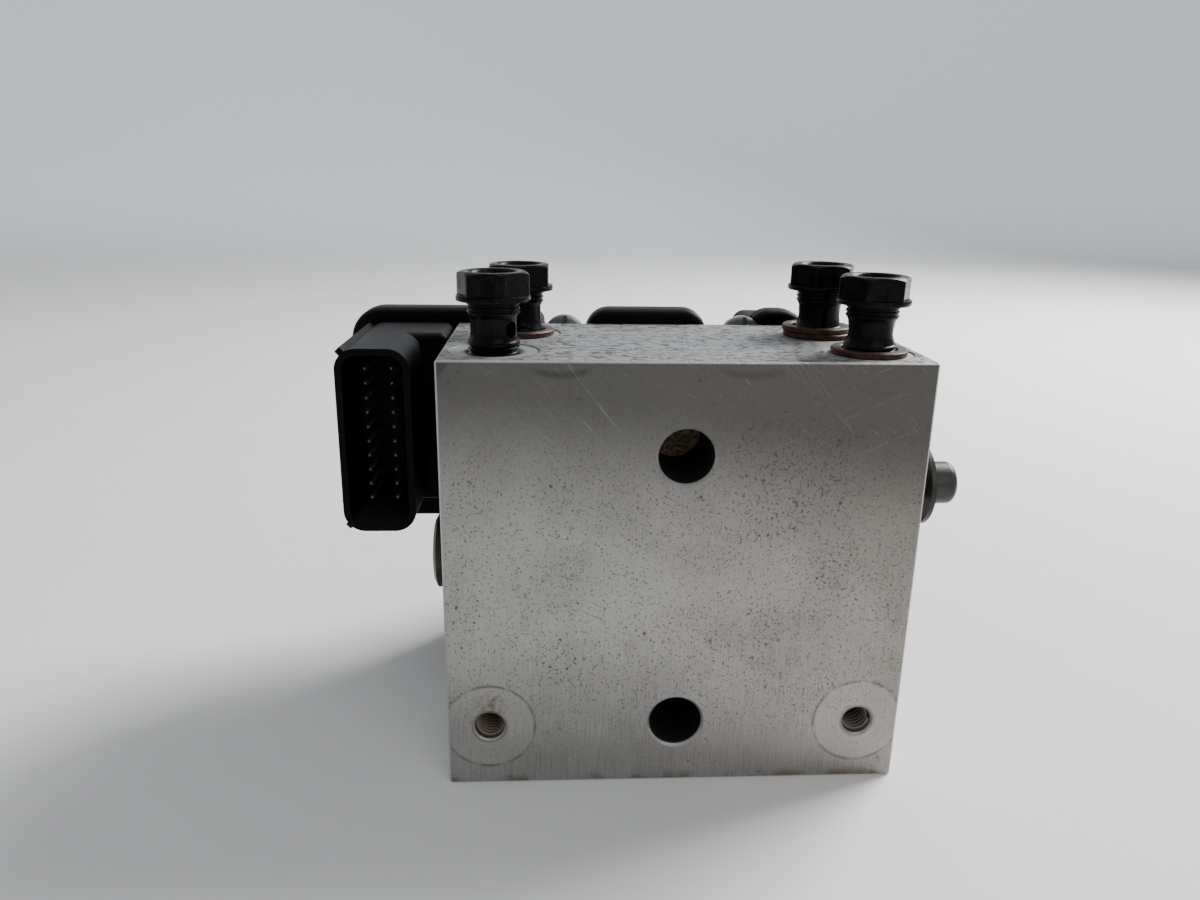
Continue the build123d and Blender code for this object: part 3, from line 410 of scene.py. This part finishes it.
aluminium = block.mix(front * (painted_dark_reflection * 0.66 + 0.12), aluminium, (0.03, 0.029, 0.026))
show("block finish nodes so far", len(block.tree.nodes))

# %% [markdown]
# Corrosion has eaten small dark pits into the front. They are too ragged for round
# spots, so the place is shaken by a noise before the spots are drawn in it. Fine specks
# and small pits lie nearly everywhere, and the larger ones crowd in a few areas, right
# of the upper bore above all.

# %% Pits in the front
shake = block.node("TexNoise", {}, {"Vector": block.place, "Scale": 1.9, "Detail": 2.0}, output="Color")
shake_by = {0: shake, 1: (1.1, 1.1, 1.1), 2: block.place}
shaken = block.node("VectorMath", {"operation": "MULTIPLY_ADD"}, shake_by)


def crowd(px, pz, reach):
    """1 at a point of the front face, falling to 0 at its reach in millimetres."""
    return away_from(px, pz).ramp(reach, reach * 0.2)


crowded = crowd(22.0, 66.0, 22.0).at_least(crowd(34.0, 46.0, 20.0) * 0.7)
crowded = crowded.at_least(crowd(-26.0, 30.0, 15.0) * 0.5).at_least(crowd(14.0, 33.0, 12.0) * 0.6)
pit_field = (block.noise(0.12, 4.0).ramp(0.42, 0.68) * 0.45 + crowded * 0.6 + 0.1).at_most(1.0)
below_film = z.ramp(84.0, 60.0) * z.ramp(6.0, 20.0)
specks = block.specks(1.7, 0.30, 0.65, shaken) * (below_film * 0.55 + 0.25)
small_pits = block.specks(1.05, 0.28, 0.42, shaken) * (pit_field * 0.6 + 0.3 * below_film + 0.1)
large_pits = block.specks(0.6, 0.24, 0.3, shaken) * pit_field.ramp(0.2, 0.6)
ragged = block.noise(1.4, 3.0, 0.65).ramp(0.60, 0.64) * pit_field.ramp(0.25, 0.8)
front_pits = specks.at_least(small_pits * 0.9).at_least(large_pits * 0.95).at_least(ragged * 0.75)
aluminium = block.mix(front * front_pits * 0.85, aluminium, (0.03, 0.028, 0.026))
show("block finish nodes so far", len(block.tree.nodes))

# %% [markdown]
# Round each foot hole a washer has left its print, a paler disc in a thin dark ring,
# found from the distance to the hole. A rusty stain has run above the left hole, and
# damp has stained the bottom edge.

# %% Washer prints and stains
foot_away = away_from(*LEFT_FOOT).at_most(away_from(*RIGHT_FOOT))
in_print = foot_away.ramp(9.2, 8.9)
print_rim = (foot_away - 9.1).size().ramp(0.5, 0.05) * (0.2 + patch.ramp(0.35, 0.6) * 0.8)
print_turns = block.noise(1.0, 1.0, 0.5, block.node("CombineXYZ", {}, {0: foot_away * 1.6}))
aluminium = block.mix(front * in_print * 0.16, aluminium, (0.56, 0.55, 0.52))
turned_rings = front * in_print * print_turns.ramp(0.55, 0.7)
aluminium = block.mix(turned_rings * 0.18, aluminium, (0.16, 0.155, 0.14))
aluminium = block.mix(front * print_rim * 0.6, aluminium, (0.07, 0.066, 0.058))
aluminium = block.mix(front * foot_away.ramp(4.0, 3.3) * 0.5, aluminium, (0.09, 0.08, 0.07))
rust_stain = away_from(-37.4, 18.0).ramp(4.2, 0.8) * block.noise(0.9, 3.0).ramp(0.42, 0.6)
low_stain = z.ramp(2.6, 0.2) * block.noise(0.16, 3.0).ramp(0.46, 0.62)
aluminium = block.mix(front * rust_stain * 0.7, aluminium, (0.19, 0.13, 0.06))
aluminium = block.mix(front * low_stain * 0.6, aluminium, (0.11, 0.08, 0.05))
show("block finish nodes so far", len(block.tree.nodes))

# %% [markdown]
# Scratches run steeply over the upper left and in wide arcs near the top right, and a
# few dark ones cross the middle. Two dark rubbed places lie right under the top edge,
# and the upper left corner is worn dark.


# %% Scratches and rubbed places
def rubbed(px, half):
    """A thin dark bow under the top edge, round one place across."""
    across = ((x - px) / half).size()
    away = (z - 86.9 + (1.0 - across * across) * 1.5).size()
    return away.ramp(1.1, 0.1) * across.ramp(1.0, 0.5)


rubs = rubbed(-23.3, 6.4).at_least(rubbed(11.5, 7.0) * 0.6) * fine.ramp(0.3, 0.55)
aluminium = block.mix(front * rubs * 0.5, aluminium, (0.012, 0.0115, 0.010))
corner_patch = ((x - LEFT_FACE) + (TOP_FACE - z) * 0.8).ramp(3.4, 2.6)
aluminium = block.mix(front * corner_patch * 0.7, aluminium, (0.05, 0.05, 0.048))
steep = block.scratches(0.8, 0.006, 60.0, (0, 38, 0), 0.5)
slight = block.scratches(1.2, 0.005, 40.0, (0, 52, 0), 0.54) * z.ramp(50.0, 70.0)
swing = block.node("CombineXYZ", {}, {0: away_from(58.0, 30.0) * 1.2})
arcs = (block.noise(1.0, 1.5, 0.5, swing) - 0.5).size()
arc_marks = arcs.ramp(0.004, 0.0) * away_from(33.0, 80.0).ramp(17.0, 6.0) * patch.ramp(0.42, 0.6) * 0.7
scratched = steep.at_least(slight).at_least(arc_marks) * (0.35 + fine * 0.6)
near_middle = away_from(-8.0, 44.0).ramp(26.0, 12.0)
dark_lines = block.scratches(0.7, 0.006, 34.0, (0, 62, 0), 0.5) * near_middle
aluminium = block.mix(front * dark_lines * 0.7, aluminium, (0.10, 0.098, 0.094))
aluminium = block.mix(front * scratched * 0.2, aluminium, (0.60, 0.59, 0.57))
show("block finish nodes so far", len(block.tree.nodes))

# %% [markdown]
# The top was left as it was extruded. It is silvery, with short dark dashes and grooves
# that run mostly across the block. Round each port a cutter faced a clean circle, whose
# edge shows as broken arcs, and oil has crept out from under the bolts.

# %% Top of the block
across_top = block.stretched((0.6, 1.1, 1.0), (0, 0, 10))
ragged_dashes = block.noise(0.8, 4.0, 0.68, across_top).ramp(0.53, 0.565)
groove_noise = block.noise(0.34, 3.0, 0.6, across_top)
grooves = (groove_noise - 0.5).size().ramp(0.018, 0.004) * cloud.ramp(0.35, 0.55)
top_pits = block.specks(0.8, 0.26, 0.6, shaken).at_least(grooves)
port_away = None
for port_x, port_y in PORTS.values():
    reach = ((x - port_x) * (x - port_x) + (y - port_y) * (y - port_y)).root()
    port_away = reach if port_away is None else port_away.at_most(reach)
faced = port_away.ramp(8.9, 8.4)
faced_rim = (port_away - 8.6).size().ramp(0.45, 0.1) * patch.ramp(0.34, 0.5)
top_marks = ragged_dashes.at_least(top_pits * 0.8) * (1 - faced * 0.85)
top_tone = block.mix(patch * 0.7 + fine * 0.3, (0.225, 0.228, 0.23), (0.36, 0.365, 0.37))
top_tone = block.mix(faced * 0.35, top_tone, (0.46, 0.465, 0.47))
top_tone = block.mix(top_marks * 0.95, top_tone, (0.05, 0.049, 0.046))
top_tone = block.mix(faced_rim * 0.7, top_tone, (0.06, 0.058, 0.052))
oil_ring = port_away.ramp(6.4, 5.2) * (0.6 + patch * 0.6)
top_tone = block.mix(oil_ring.at_most(1.0) * 0.85, top_tone, (0.035, 0.033, 0.028))
aluminium = block.mix(top, aluminium, top_tone)
show("block finish nodes so far", len(block.tree.nodes))

# %% [markdown]
# The bores' walls are painted nearly black as painted shade, and the upper one has a
# brown grainy bottom. The foot holes are painted dark down to the roots of their
# threads as painted shade, and are paler on the crests. The depth below the front face
# tells the inside from the outside.

# %% Inside the bores
bore_away = away_from(*UPPER_BORE).at_most(away_from(*LOWER_BORE))
inside = y.ramp(FRONT_FACE + 0.3, FRONT_FACE + 1.1) * y.ramp(21.0, 18.0)
in_bore = bore_away.ramp(6.0, 5.6).at_least(foot_away.ramp(3.6, 3.2)) * inside
bore_floor = (face_y * -1).ramp(0.7, 0.9) * in_bore
gritty = block.mix(block.noise(1.6, 4.0).ramp(0.3, 0.7), (0.05, 0.035, 0.022), (0.42, 0.31, 0.20))
# Painted shade: the nearly black bore walls; the brown grainy floor is its own colour.
bore_shade_and_grit = block.mix(bore_floor, (0.012, 0.011, 0.010), gritty)
crest = foot_away.ramp(2.95, 2.6)
# Painted shade: nearly black thread roots under paler crests.
thread_shade_tone = block.mix(crest, (0.012, 0.010, 0.009), (0.20, 0.16, 0.13))
bore_shade_and_grit = block.mix(foot_away.ramp(4.2, 3.6), bore_shade_and_grit, thread_shade_tone)
aluminium = block.mix(in_bore, aluminium, bore_shade_and_grit)
show("block finish nodes so far", len(block.tree.nodes))

# %% [markdown]
# A thin bright line, partly bare worn metal and partly a painted highlight where the
# edge would catch the light, runs along the top and left edges. Then the finish is
# put together: pits and bores are rougher and less metallic than the milled skin, and
# lines, pits and scratches all have a little depth.

# %% The block's finish put together
# Painted highlight, partly bare worn metal: a bright line along the top and left edges.
edge_wear_and_highlight = z.ramp(TOP_FACE - 0.4, TOP_FACE - 0.15) * (1 - top)
edge_wear_and_highlight = edge_wear_and_highlight + x.ramp(LEFT_FACE + 0.4, LEFT_FACE + 0.15) * 0.7
aluminium = block.mix(edge_wear_and_highlight.at_most(1.0) * 0.6 * (1 - in_bore), aluminium, (0.75, 0.745, 0.73))
block.set(Base_Color=aluminium)
block_rough = 0.40 + fine * 0.12 + front * (patch - 0.5) * 0.12 + in_bore * 0.2 + top * 0.06
block.set(Roughness=block_rough, Metallic=0.86 - in_bore * 0.6 - top * 0.25 - front * front_pits * 0.5)
relief = lines * 0.25 * front + fine * 0.25 - front * front_pits * 1.2 - top * top_marks * 1.4
block.bump(relief - scratched * front * 0.2, 0.06)
show("block finish nodes", len(block.tree.nodes))

# %% [markdown]
# Most other parts need one of two plain recipes: a metal that is paler and darker in
# patches with fine grain, or a moulded material with a fine even grain. Each takes its
# own colours, so that no two parts look painted from the same tin.


# %% Recipes for the smaller parts
def plain_metal(name, pale, deep, roughness, metallic=0.9, patch_size=4.0, turning=0.0):
    """turning above 0 adds rings across Z, as a lathe leaves them."""
    finish = Finish(name, metallic=metallic)
    patches = finish.noise(1.0 / patch_size, 4.0).ramp(0.3, 0.7)
    grain = finish.noise(5.0, 2.0)
    finish.set(Base_Color=finish.mix(patches * 0.8 + grain * 0.2, deep, pale))
    finish.set(Roughness=roughness + (grain - 0.5) * 0.2 + (1 - patches) * 0.08)
    rings = finish.noise(1.0, 1.0, 0.5, finish.stretched((0.3, 0.3, 9.0))) if turning else grain
    finish.bump(rings * max(turning, 0.4) + grain * 0.3, 0.03)
    return finish


def moulded(name, pale, deep, roughness, grain_size=0.25, depth=0.02):
    """grain_size is the width of one grain and depth its height, in millimetres."""
    finish = Finish(name)
    cloud = finish.noise(0.06, 3.0).ramp(0.3, 0.7)
    grain = finish.noise(1.0 / grain_size, 2.0)
    finish.set(Base_Color=finish.mix(cloud * 0.7 + grain * 0.3, deep, pale))
    finish.set(Roughness=roughness + (grain - 0.5) * 0.14 + (cloud - 0.5) * 0.06)
    finish.bump(grain, depth)
    return finish


# %% [markdown]
# The hose bolts are blackened steel that has been oiled and handled. The black film is
# thicker in some places than in others, brown rust tints it in patches, and a few light
# scuffs cross it. Oil makes it glossy.

# %% Blackened steel
black_steel = Finish("black_oxide_steel", metallic=0.0, **{"Specular IOR Level": 0.08})
film = black_steel.noise(0.35, 4.0)
rust_place = black_steel.stretched((1, 1, 0.6), shift=(7, 3, 1))
rust = black_steel.noise(0.5, 4.0, 0.6, rust_place).ramp(0.52, 0.72)
scuffs = black_steel.scratches(1.6, 0.012, 8.0, (20, 10, 0), 0.56)
steel_grain = black_steel.noise(4.0, 3.0)
film_tone = black_steel.mix(film.ramp(0.35, 0.7), (0.0012, 0.0012, 0.0015), (0.005, 0.0048, 0.005))
film_tone = black_steel.mix(rust * 0.45, film_tone, (0.014, 0.007, 0.004))
film_tone = black_steel.mix(scuffs * 0.25, film_tone, (0.06, 0.058, 0.056))
black_steel.set(Base_Color=film_tone)
black_steel.set(Roughness=0.12 + film * 0.12 + rust * 0.2 + steel_grain * 0.08)
black_steel.bump(steel_grain * 0.5 + film * 0.8 - scuffs * 0.2, 0.05)
show("bolt finish nodes", len(black_steel.tree.nodes))

# %% [markdown]
# Copper washers that have been squeezed once turn brown, and their upward faces are
# greyer.

# %% Copper washers
copper = Finish("brown_copper", metallic=0.55)
oxide = copper.noise(0.6, 4.0)
copper_up = copper.node("SeparateXYZ", {}, {0: copper.node("TexCoord", output="Normal")}, output=2)
copper_tone = copper.mix(oxide.ramp(0.3, 0.7), (0.022, 0.009, 0.006), (0.075, 0.032, 0.020))
copper_tone = copper.mix(copper_up.ramp(0.7, 0.95) * 0.6, copper_tone, (0.085, 0.07, 0.06))
copper.set(Base_Color=copper_tone, Roughness=0.34 + oxide * 0.25)
copper.bump(copper.noise(2.5, 3.0), 0.05)
show("washer finish nodes", len(copper.tree.nodes))

# %% [markdown]
# The control unit is glass-filled black nylon: almost black, with a fine mould grain
# that spreads the light into a soft sheen, a little dust and a painted sheen that grey
# its upward faces, and a few faint wipe marks.

# %% Black plastic of the control unit
nylon = Finish("black_plastic", roughness=0.42, **{"Specular IOR Level": 0.07})
nylon_up = nylon.node("SeparateXYZ", {}, {0: nylon.node("TexCoord", output="Normal")}, output=2)
mould_grain = nylon.noise(3.2, 3.0)
smudge = nylon.noise(0.09, 4.0)
# Upward faces grey partly with dust and partly with a painted sheen.
dust_and_sheen = nylon_up.ramp(0.35, 1.0) * (0.55 + smudge * 0.5)
uneven = smudge * 0.7 + mould_grain * 0.3
nylon_tone = nylon.mix(uneven, (0.0006, 0.0007, 0.0009), (0.0018, 0.0019, 0.0022))
nylon_tone = nylon.mix(dust_and_sheen * 0.5, nylon_tone, (0.052, 0.053, 0.057))
wipe = nylon.scratches(0.7, 0.02, 10.0, (0, 70, 20), 0.55)
nylon_tone = nylon.mix(wipe * 0.10, nylon_tone, (0.05, 0.05, 0.052))
nylon.set(Base_Color=nylon_tone)
nylon.set(Roughness=0.36 + mould_grain * 0.12 + smudge * 0.12)
nylon.bump(mould_grain * 0.7 + smudge * 0.5, 0.03)
show("plastic finish nodes", len(nylon.tree.nodes))

# %% [markdown]
# Each finish is listed under the name of its material slot. The parts inside the unit
# are only seen in a cutaway, but they get their own finishes too: bright ground steel,
# enamelled copper wire, a green board, tinned pins.

# %% Finishes by slot
finishes = {
    "machined_aluminium": block,
    "black_oxide_steel": black_steel,
    "copper": copper,
    "black_plastic": nylon,
    "dull_zinc_steel": plain_metal(
        "dull_zinc", (0.030, 0.028, 0.025), (0.010, 0.0095, 0.0085), 0.36, 0.3),
    "yellow_passivated_steel": plain_metal(
        "brown_passivate", (0.035, 0.027, 0.016), (0.011, 0.0085, 0.005), 0.38, 0.3, 3.0),
    "bearing_steel": plain_metal(
        "ground_steel", (0.62, 0.62, 0.63), (0.48, 0.48, 0.50), 0.2, 1.0),
    "spring_steel": plain_metal(
        "drawn_wire", (0.36, 0.36, 0.38), (0.22, 0.22, 0.23), 0.3, 1.0, 2.0),
    "anodised_aluminium": plain_metal(
        "hard_anodised", (0.42, 0.42, 0.44), (0.3, 0.3, 0.32), 0.4, 0.7),
    "zinc_plated_steel": plain_metal(
        "zinc_plate", (0.55, 0.56, 0.57), (0.36, 0.365, 0.37), 0.32, 0.95, 7.0),
    "seal_rubber": moulded(
        "seal_rubber", (0.028, 0.028, 0.028), (0.012, 0.012, 0.012), 0.55, 0.5),
    "valve_steel": plain_metal(
        "turned_steel", (0.52, 0.52, 0.54), (0.36, 0.36, 0.38), 0.28, 1.0, 3.0, 0.8),
    "winding_copper": plain_metal(
        "enamelled_wire", (0.46, 0.2, 0.09), (0.26, 0.1, 0.045), 0.3, 0.85, 1.2, 1.0),
    "core_iron": plain_metal(
        "laminations", (0.24, 0.24, 0.25), (0.12, 0.12, 0.13), 0.45, 0.9, 2.0),
    "magnet_ferrite": moulded(
        "ferrite", (0.075, 0.076, 0.08), (0.035, 0.035, 0.04), 0.5, 0.6, 0.05),
    "brush_carbon": moulded(
        "carbon", (0.045, 0.045, 0.045), (0.02, 0.02, 0.02), 0.6, 0.4, 0.04),
    "inner_plastic": moulded(
        "natural_nylon", (0.78, 0.76, 0.70), (0.66, 0.63, 0.56), 0.4, 0.8),
    "board_laminate": moulded(
        "solder_mask", (0.022, 0.17, 0.07), (0.014, 0.11, 0.045), 0.3, 1.5),
    "chip_plastic": moulded(
        "chip_plastic", (0.035, 0.035, 0.04), (0.02, 0.02, 0.022), 0.45, 0.3),
    "tinned_pins": plain_metal(
        "tinned_brass", (0.17, 0.165, 0.155), (0.08, 0.078, 0.07), 0.4, 0.8, 1.5),
    "screw_steel": plain_metal(
        "screw_zinc", (0.12, 0.125, 0.125), (0.065, 0.067, 0.067), 0.62, 0.2, 3.0),
}
show("finishes", len(finishes))

# %% [markdown]
# Every solid of the frame is dressed in the finish of its own slot.

# %% Finishes on the solids
for piece in frame["record"]["subparts"]:
    solid = nodes[piece["node"]]
    solid.data.materials.clear()
    solid.data.materials.append(finishes[piece["material_slot"]].material)
show("solids dressed", len(nodes))


# %% [markdown]
# Turned parts are made as a lathe makes them: from a filled circle, whose face is
# extruded and resized from one step of the profile to the next. The profile may go
# back down inside itself, which gives a recess.

# %% A helper for turned parts
def turned(name, profile, segments=64):
    """profile is a list of (radius, height) in millimetres."""
    radius, height = profile[0]
    bpy.ops.object.select_all(action="DESELECT")
    bpy.ops.mesh.primitive_circle_add(
        vertices=segments, radius=radius, fill_type="NGON", location=(0, 0, 0))
    made = bpy.context.object
    made.name = name
    bpy.ops.object.mode_set(mode="EDIT")
    bpy.ops.mesh.select_all(action="SELECT")
    bpy.ops.transform.translate(value=(0, 0, height))
    for next_radius, next_height in profile[1:]:
        step = {"value": (0, 0, next_height - height)}
        bpy.ops.mesh.extrude_region_move(TRANSFORM_OT_translate=step)
        factor = next_radius / radius
        bpy.ops.transform.resize(value=(factor, factor, 1.0), center_override=(0, 0, next_height))
        radius, height = next_radius, next_height
    bpy.ops.mesh.select_all(action="SELECT")
    bpy.ops.mesh.normals_make_consistent(inside=False)
    bpy.ops.object.mode_set(mode="OBJECT")
    return made


def apply_all(piece):
    """Apply a piece's modifiers in their order."""
    bpy.ops.object.select_all(action="DESELECT")
    piece.select_set(True)
    bpy.context.view_layer.objects.active = piece
    for modifier in list(piece.modifiers):
        bpy.ops.object.modifier_apply(modifier=modifier.name)
    return piece


def combined(piece, other, operation):
    """Join, cut or intersect two solids and drop the second one."""
    boolean = piece.modifiers.new("boolean", "BOOLEAN")
    boolean.operation = operation
    boolean.solver = "EXACT"
    boolean.object = other
    apply_all(piece)
    bpy.data.objects.remove(other)
    return piece


def softened(piece, width, segments=2, angle=35.0):
    """Ease the sharp edges of a piece by a small bevel."""
    bevel = piece.modifiers.new("soft_edges", "BEVEL")
    bevel.width = width
    bevel.segments = segments
    bevel.limit_method = "ANGLE"
    bevel.angle_limit = math.radians(angle)
    return apply_all(piece)


def joined(pieces, name):
    """Make one object of several and name it."""
    bpy.ops.object.select_all(action="DESELECT")
    for piece in pieces:
        piece.select_set(True)
    bpy.context.view_layer.objects.active = pieces[0]
    bpy.ops.object.join()
    pieces[0].name = name
    return pieces[0]


# %% [markdown]
# A screw thread is a small ridge wound round an axis. The ridge's outline has only four
# points, two at its root and two at its crest, and the Screw modifier winds it. The ends
# are closed afterwards.

# %% A helper for threads
def thread(name, root_radius, crest_radius, pitch, start, turns, segments=40):
    """A wound ridge from its root to its crest, rising from start, in millimetres."""
    bpy.ops.object.select_all(action="DESELECT")
    bpy.ops.mesh.primitive_circle_add(vertices=4, radius=1.0, fill_type="NOTHING", location=(0, 0, 0))
    ridge = bpy.context.object
    ridge.name = name
    flat = pitch * 0.06
    half = pitch / 2
    outline = [(root_radius, -half), (crest_radius, -flat), (crest_radius, flat), (root_radius, half)]
    for vertex, (radius, height) in zip(ridge.data.vertices, outline):
        vertex.co = (radius, 0.0, start + half + height)
    winding = ridge.modifiers.new("winding", "SCREW")
    winding.axis = "Z"
    winding.screw_offset = pitch
    winding.iterations = turns
    winding.steps = segments
    winding.render_steps = segments
    winding.use_merge_vertices = True
    winding.merge_threshold = 0.0001
    apply_all(ridge)
    bpy.ops.object.mode_set(mode="EDIT")
    bpy.ops.mesh.select_all(action="SELECT")
    bpy.ops.mesh.remove_doubles(threshold=0.0002)
    bpy.ops.mesh.select_all(action="DESELECT")
    bpy.ops.mesh.select_mode(type="EDGE")
    bpy.ops.mesh.select_non_manifold(extend=False, use_wire=False, use_multi_face=False,
                                     use_non_contiguous=False, use_verts=False)
    bpy.ops.mesh.fill()
    bpy.ops.mesh.select_all(action="SELECT")
    bpy.ops.mesh.normals_make_consistent(inside=False)
    bpy.ops.object.mode_set(mode="OBJECT")
    return ridge


def placed(piece, name, place, turn=0.0, axis="Z"):
    """A finished copy of a piece at its place in millimetres, brought down to metres."""
    copy = piece.copy()
    copy.data = piece.data.copy()
    copy.name = name
    bpy.context.scene.collection.objects.link(copy)
    move = Matrix.Translation(Vector(place) * MM) @ Matrix.Rotation(math.radians(turn), 4, axis)
    copy.data.transform(move @ Matrix.Scale(MM, 4))
    return copy


def dressed(piece, finish, slot, body, *replaced):
    """Give a finished piece its surface and its body, and hide the solids it stands for."""
    piece.data.materials.clear()
    piece.data.materials.append(finishes[finish].material)
    bpy.ops.object.select_all(action="DESELECT")
    piece.select_set(True)
    bpy.context.view_layer.objects.active = piece
    bpy.ops.object.shade_smooth_by_angle(angle=math.radians(32.0))
    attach(piece, body)
    if replaced:
        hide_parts(*replaced)
    return piece


# %% [markdown]
# A hose bolt has a flanged hexagon head with a shallow dish in its top, a grooved
# collar, a waist with a cross hole, and a thread. The body is turned first, in one piece
# from the lower end to the flange.

# %% Turned body of a hose bolt
LENGTH = 19.4
groove_floor, groove_top = 4.72, 4.95
shank_profile = [
    (4.3, -LENGTH), (4.55, -LENGTH + 0.5), (4.42, -LENGTH + 0.6), (4.42, -8.15), (4.95, -8.0),
    (4.80, -7.55), (4.52, -7.0), (4.38, -6.4), (4.35, -5.9), (4.35, -3.4), (4.42, -3.05),
    (4.72, -2.5), (groove_top, -2.25), (groove_top, -1.95), (groove_floor, -1.8),
    (groove_floor, -1.6), (groove_top, -1.45), (groove_top, -1.1), (groove_floor, -0.95),
    (groove_floor, -0.75), (groove_top, -0.6), (groove_top, -0.25), (4.8, -0.1), (4.8, 0.0),
    (6.55, 0.0), (6.85, 0.08), (6.95, 0.3), (6.95, 0.8), (6.85, 1.02), (6.5, 1.1), (6.0, 1.1),
]
shank = turned("bolt_shank", shank_profile, 72)
show("shank faces", len(shank.data.polygons))

# %% [markdown]
# The fluid flows through a hole drilled across the waist.

# %% Cross hole
CROSS_HOLE_RADIUS, CROSS_HOLE_HEIGHT = 1.5, -5.1
bpy.ops.object.select_all(action="DESELECT")
bpy.ops.mesh.primitive_cylinder_add(
    vertices=32, radius=CROSS_HOLE_RADIUS, depth=20.0,
    location=(0, 0, CROSS_HOLE_HEIGHT), rotation=(0, math.pi / 2, 0))
cross_drill = bpy.context.object
bpy.ops.object.transform_apply(location=True, rotation=True, scale=True)
shank = combined(shank, cross_drill, "DIFFERENCE")
show("drilled shank faces", len(shank.data.polygons))

# %% [markdown]
# The head is turned with its crown and its dish, and a hexagonal bar with eased corners
# is then intersected with it, so the crown rounds off the hexagon's upper corners.

# %% Hexagon head
ACROSS_FLATS = 12.0
crown_profile = [
    (6.2, 1.0), (7.2, 1.0), (7.2, 4.55), (6.55, 5.05), (5.95, 5.33), (5.75, 5.4), (4.85, 5.4),
    (4.6, 5.3), (4.2, 4.85), (4.15, 4.7), (4.15, 4.0), (4.0, 3.8), (1.5, 3.7),
]
head = turned("bolt_head", crown_profile, 72)
bpy.ops.object.select_all(action="DESELECT")
bpy.ops.mesh.primitive_cylinder_add(
    vertices=6, radius=ACROSS_FLATS / math.sqrt(3), depth=8.0, location=(0, 0, 3.0))
hexagon = bpy.context.object
bpy.ops.object.transform_apply(location=True, rotation=True, scale=True)
softened(hexagon, 0.22, 3)
head = combined(head, hexagon, "INTERSECT")
show("bolt head faces", len(head.data.polygons))

# %% [markdown]
# The four bolts were dropped in loosely and stand at their own heights above the block,
# with their hexagons and cross holes turned each its own way. The head and the shank are
# copied separately for that reason.

# %% Four hose bolts in place
THREAD_ROOT, THREAD_CREST, PITCH = 4.40, 4.95, 1.0
bolt_thread = thread("bolt_thread", THREAD_ROOT, THREAD_CREST, PITCH, -LENGTH + 0.6, 11)
lifts_and_turns = {
    "front_left": (9.4, 21.0, 55.0),
    "front_right": (9.3, 30.0, 70.0),
    "rear_left": (9.0, -1.0, -58.0),
    "rear_right": (9.6, 36.0, 68.0),
}
for corner, (lift, hex_turn, hole_turn) in lifts_and_turns.items():
    seat = (*PORTS[corner], TOP_FACE + lift)
    body = placed(shank, "shank_" + corner, seat, hole_turn - 90.0)
    ridge = placed(bolt_thread, "ridge_" + corner, seat, hole_turn)
    cap = placed(head, "cap_" + corner, seat, hex_turn)
    bolt = joined([body, ridge, cap], "hose_bolt_" + corner)
    dressed(bolt, "black_oxide_steel", "black_oxide_steel", "root", "banjo_bolt_" + corner)
show("bolt faces", len(bolt.data.polygons))

# %% [markdown]
# The two low holes in the front face are tapped. Their threads are wound the same way
# as the bolts', with the crest pointing inwards.

# %% Threads of the foot holes
HOLE_ROOT, HOLE_CREST, HOLE_CHAMFER = 3.0, 2.5, 0.75
hole_thread = thread("hole_thread", HOLE_ROOT, HOLE_CREST, PITCH, HOLE_CHAMFER, 13)
for word, (across, up) in (("left", LEFT_FOOT), ("right", RIGHT_FOOT)):
    mouth = (across, FRONT_FACE, up)
    tapped = placed(hole_thread, "foot_hole_thread_" + word, mouth, -90.0, "X")
    dressed(tapped, "machined_aluminium", "machined_aluminium", "root")
show("thread faces", len(tapped.data.polygons))

# %% [markdown]
# The patterns that the copies came from aren't pieces of the module, so they go.

# %% Put the patterns away
for pattern in (shank, head, bolt_thread, hole_thread):
    bpy.data.objects.remove(pattern)
show("objects left", len(bpy.data.objects))

# %% [markdown]
# The box of the dressed module and the box of its solids are printed side by side. The
# dressed module has to stay inside the box of its solids.

# %% Sizes
new_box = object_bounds()
sizes = {
    "cad": [list(corner) for corner in cad_box],
    "visual": [list(corner) for corner in new_box],
}
show("size", sizes)
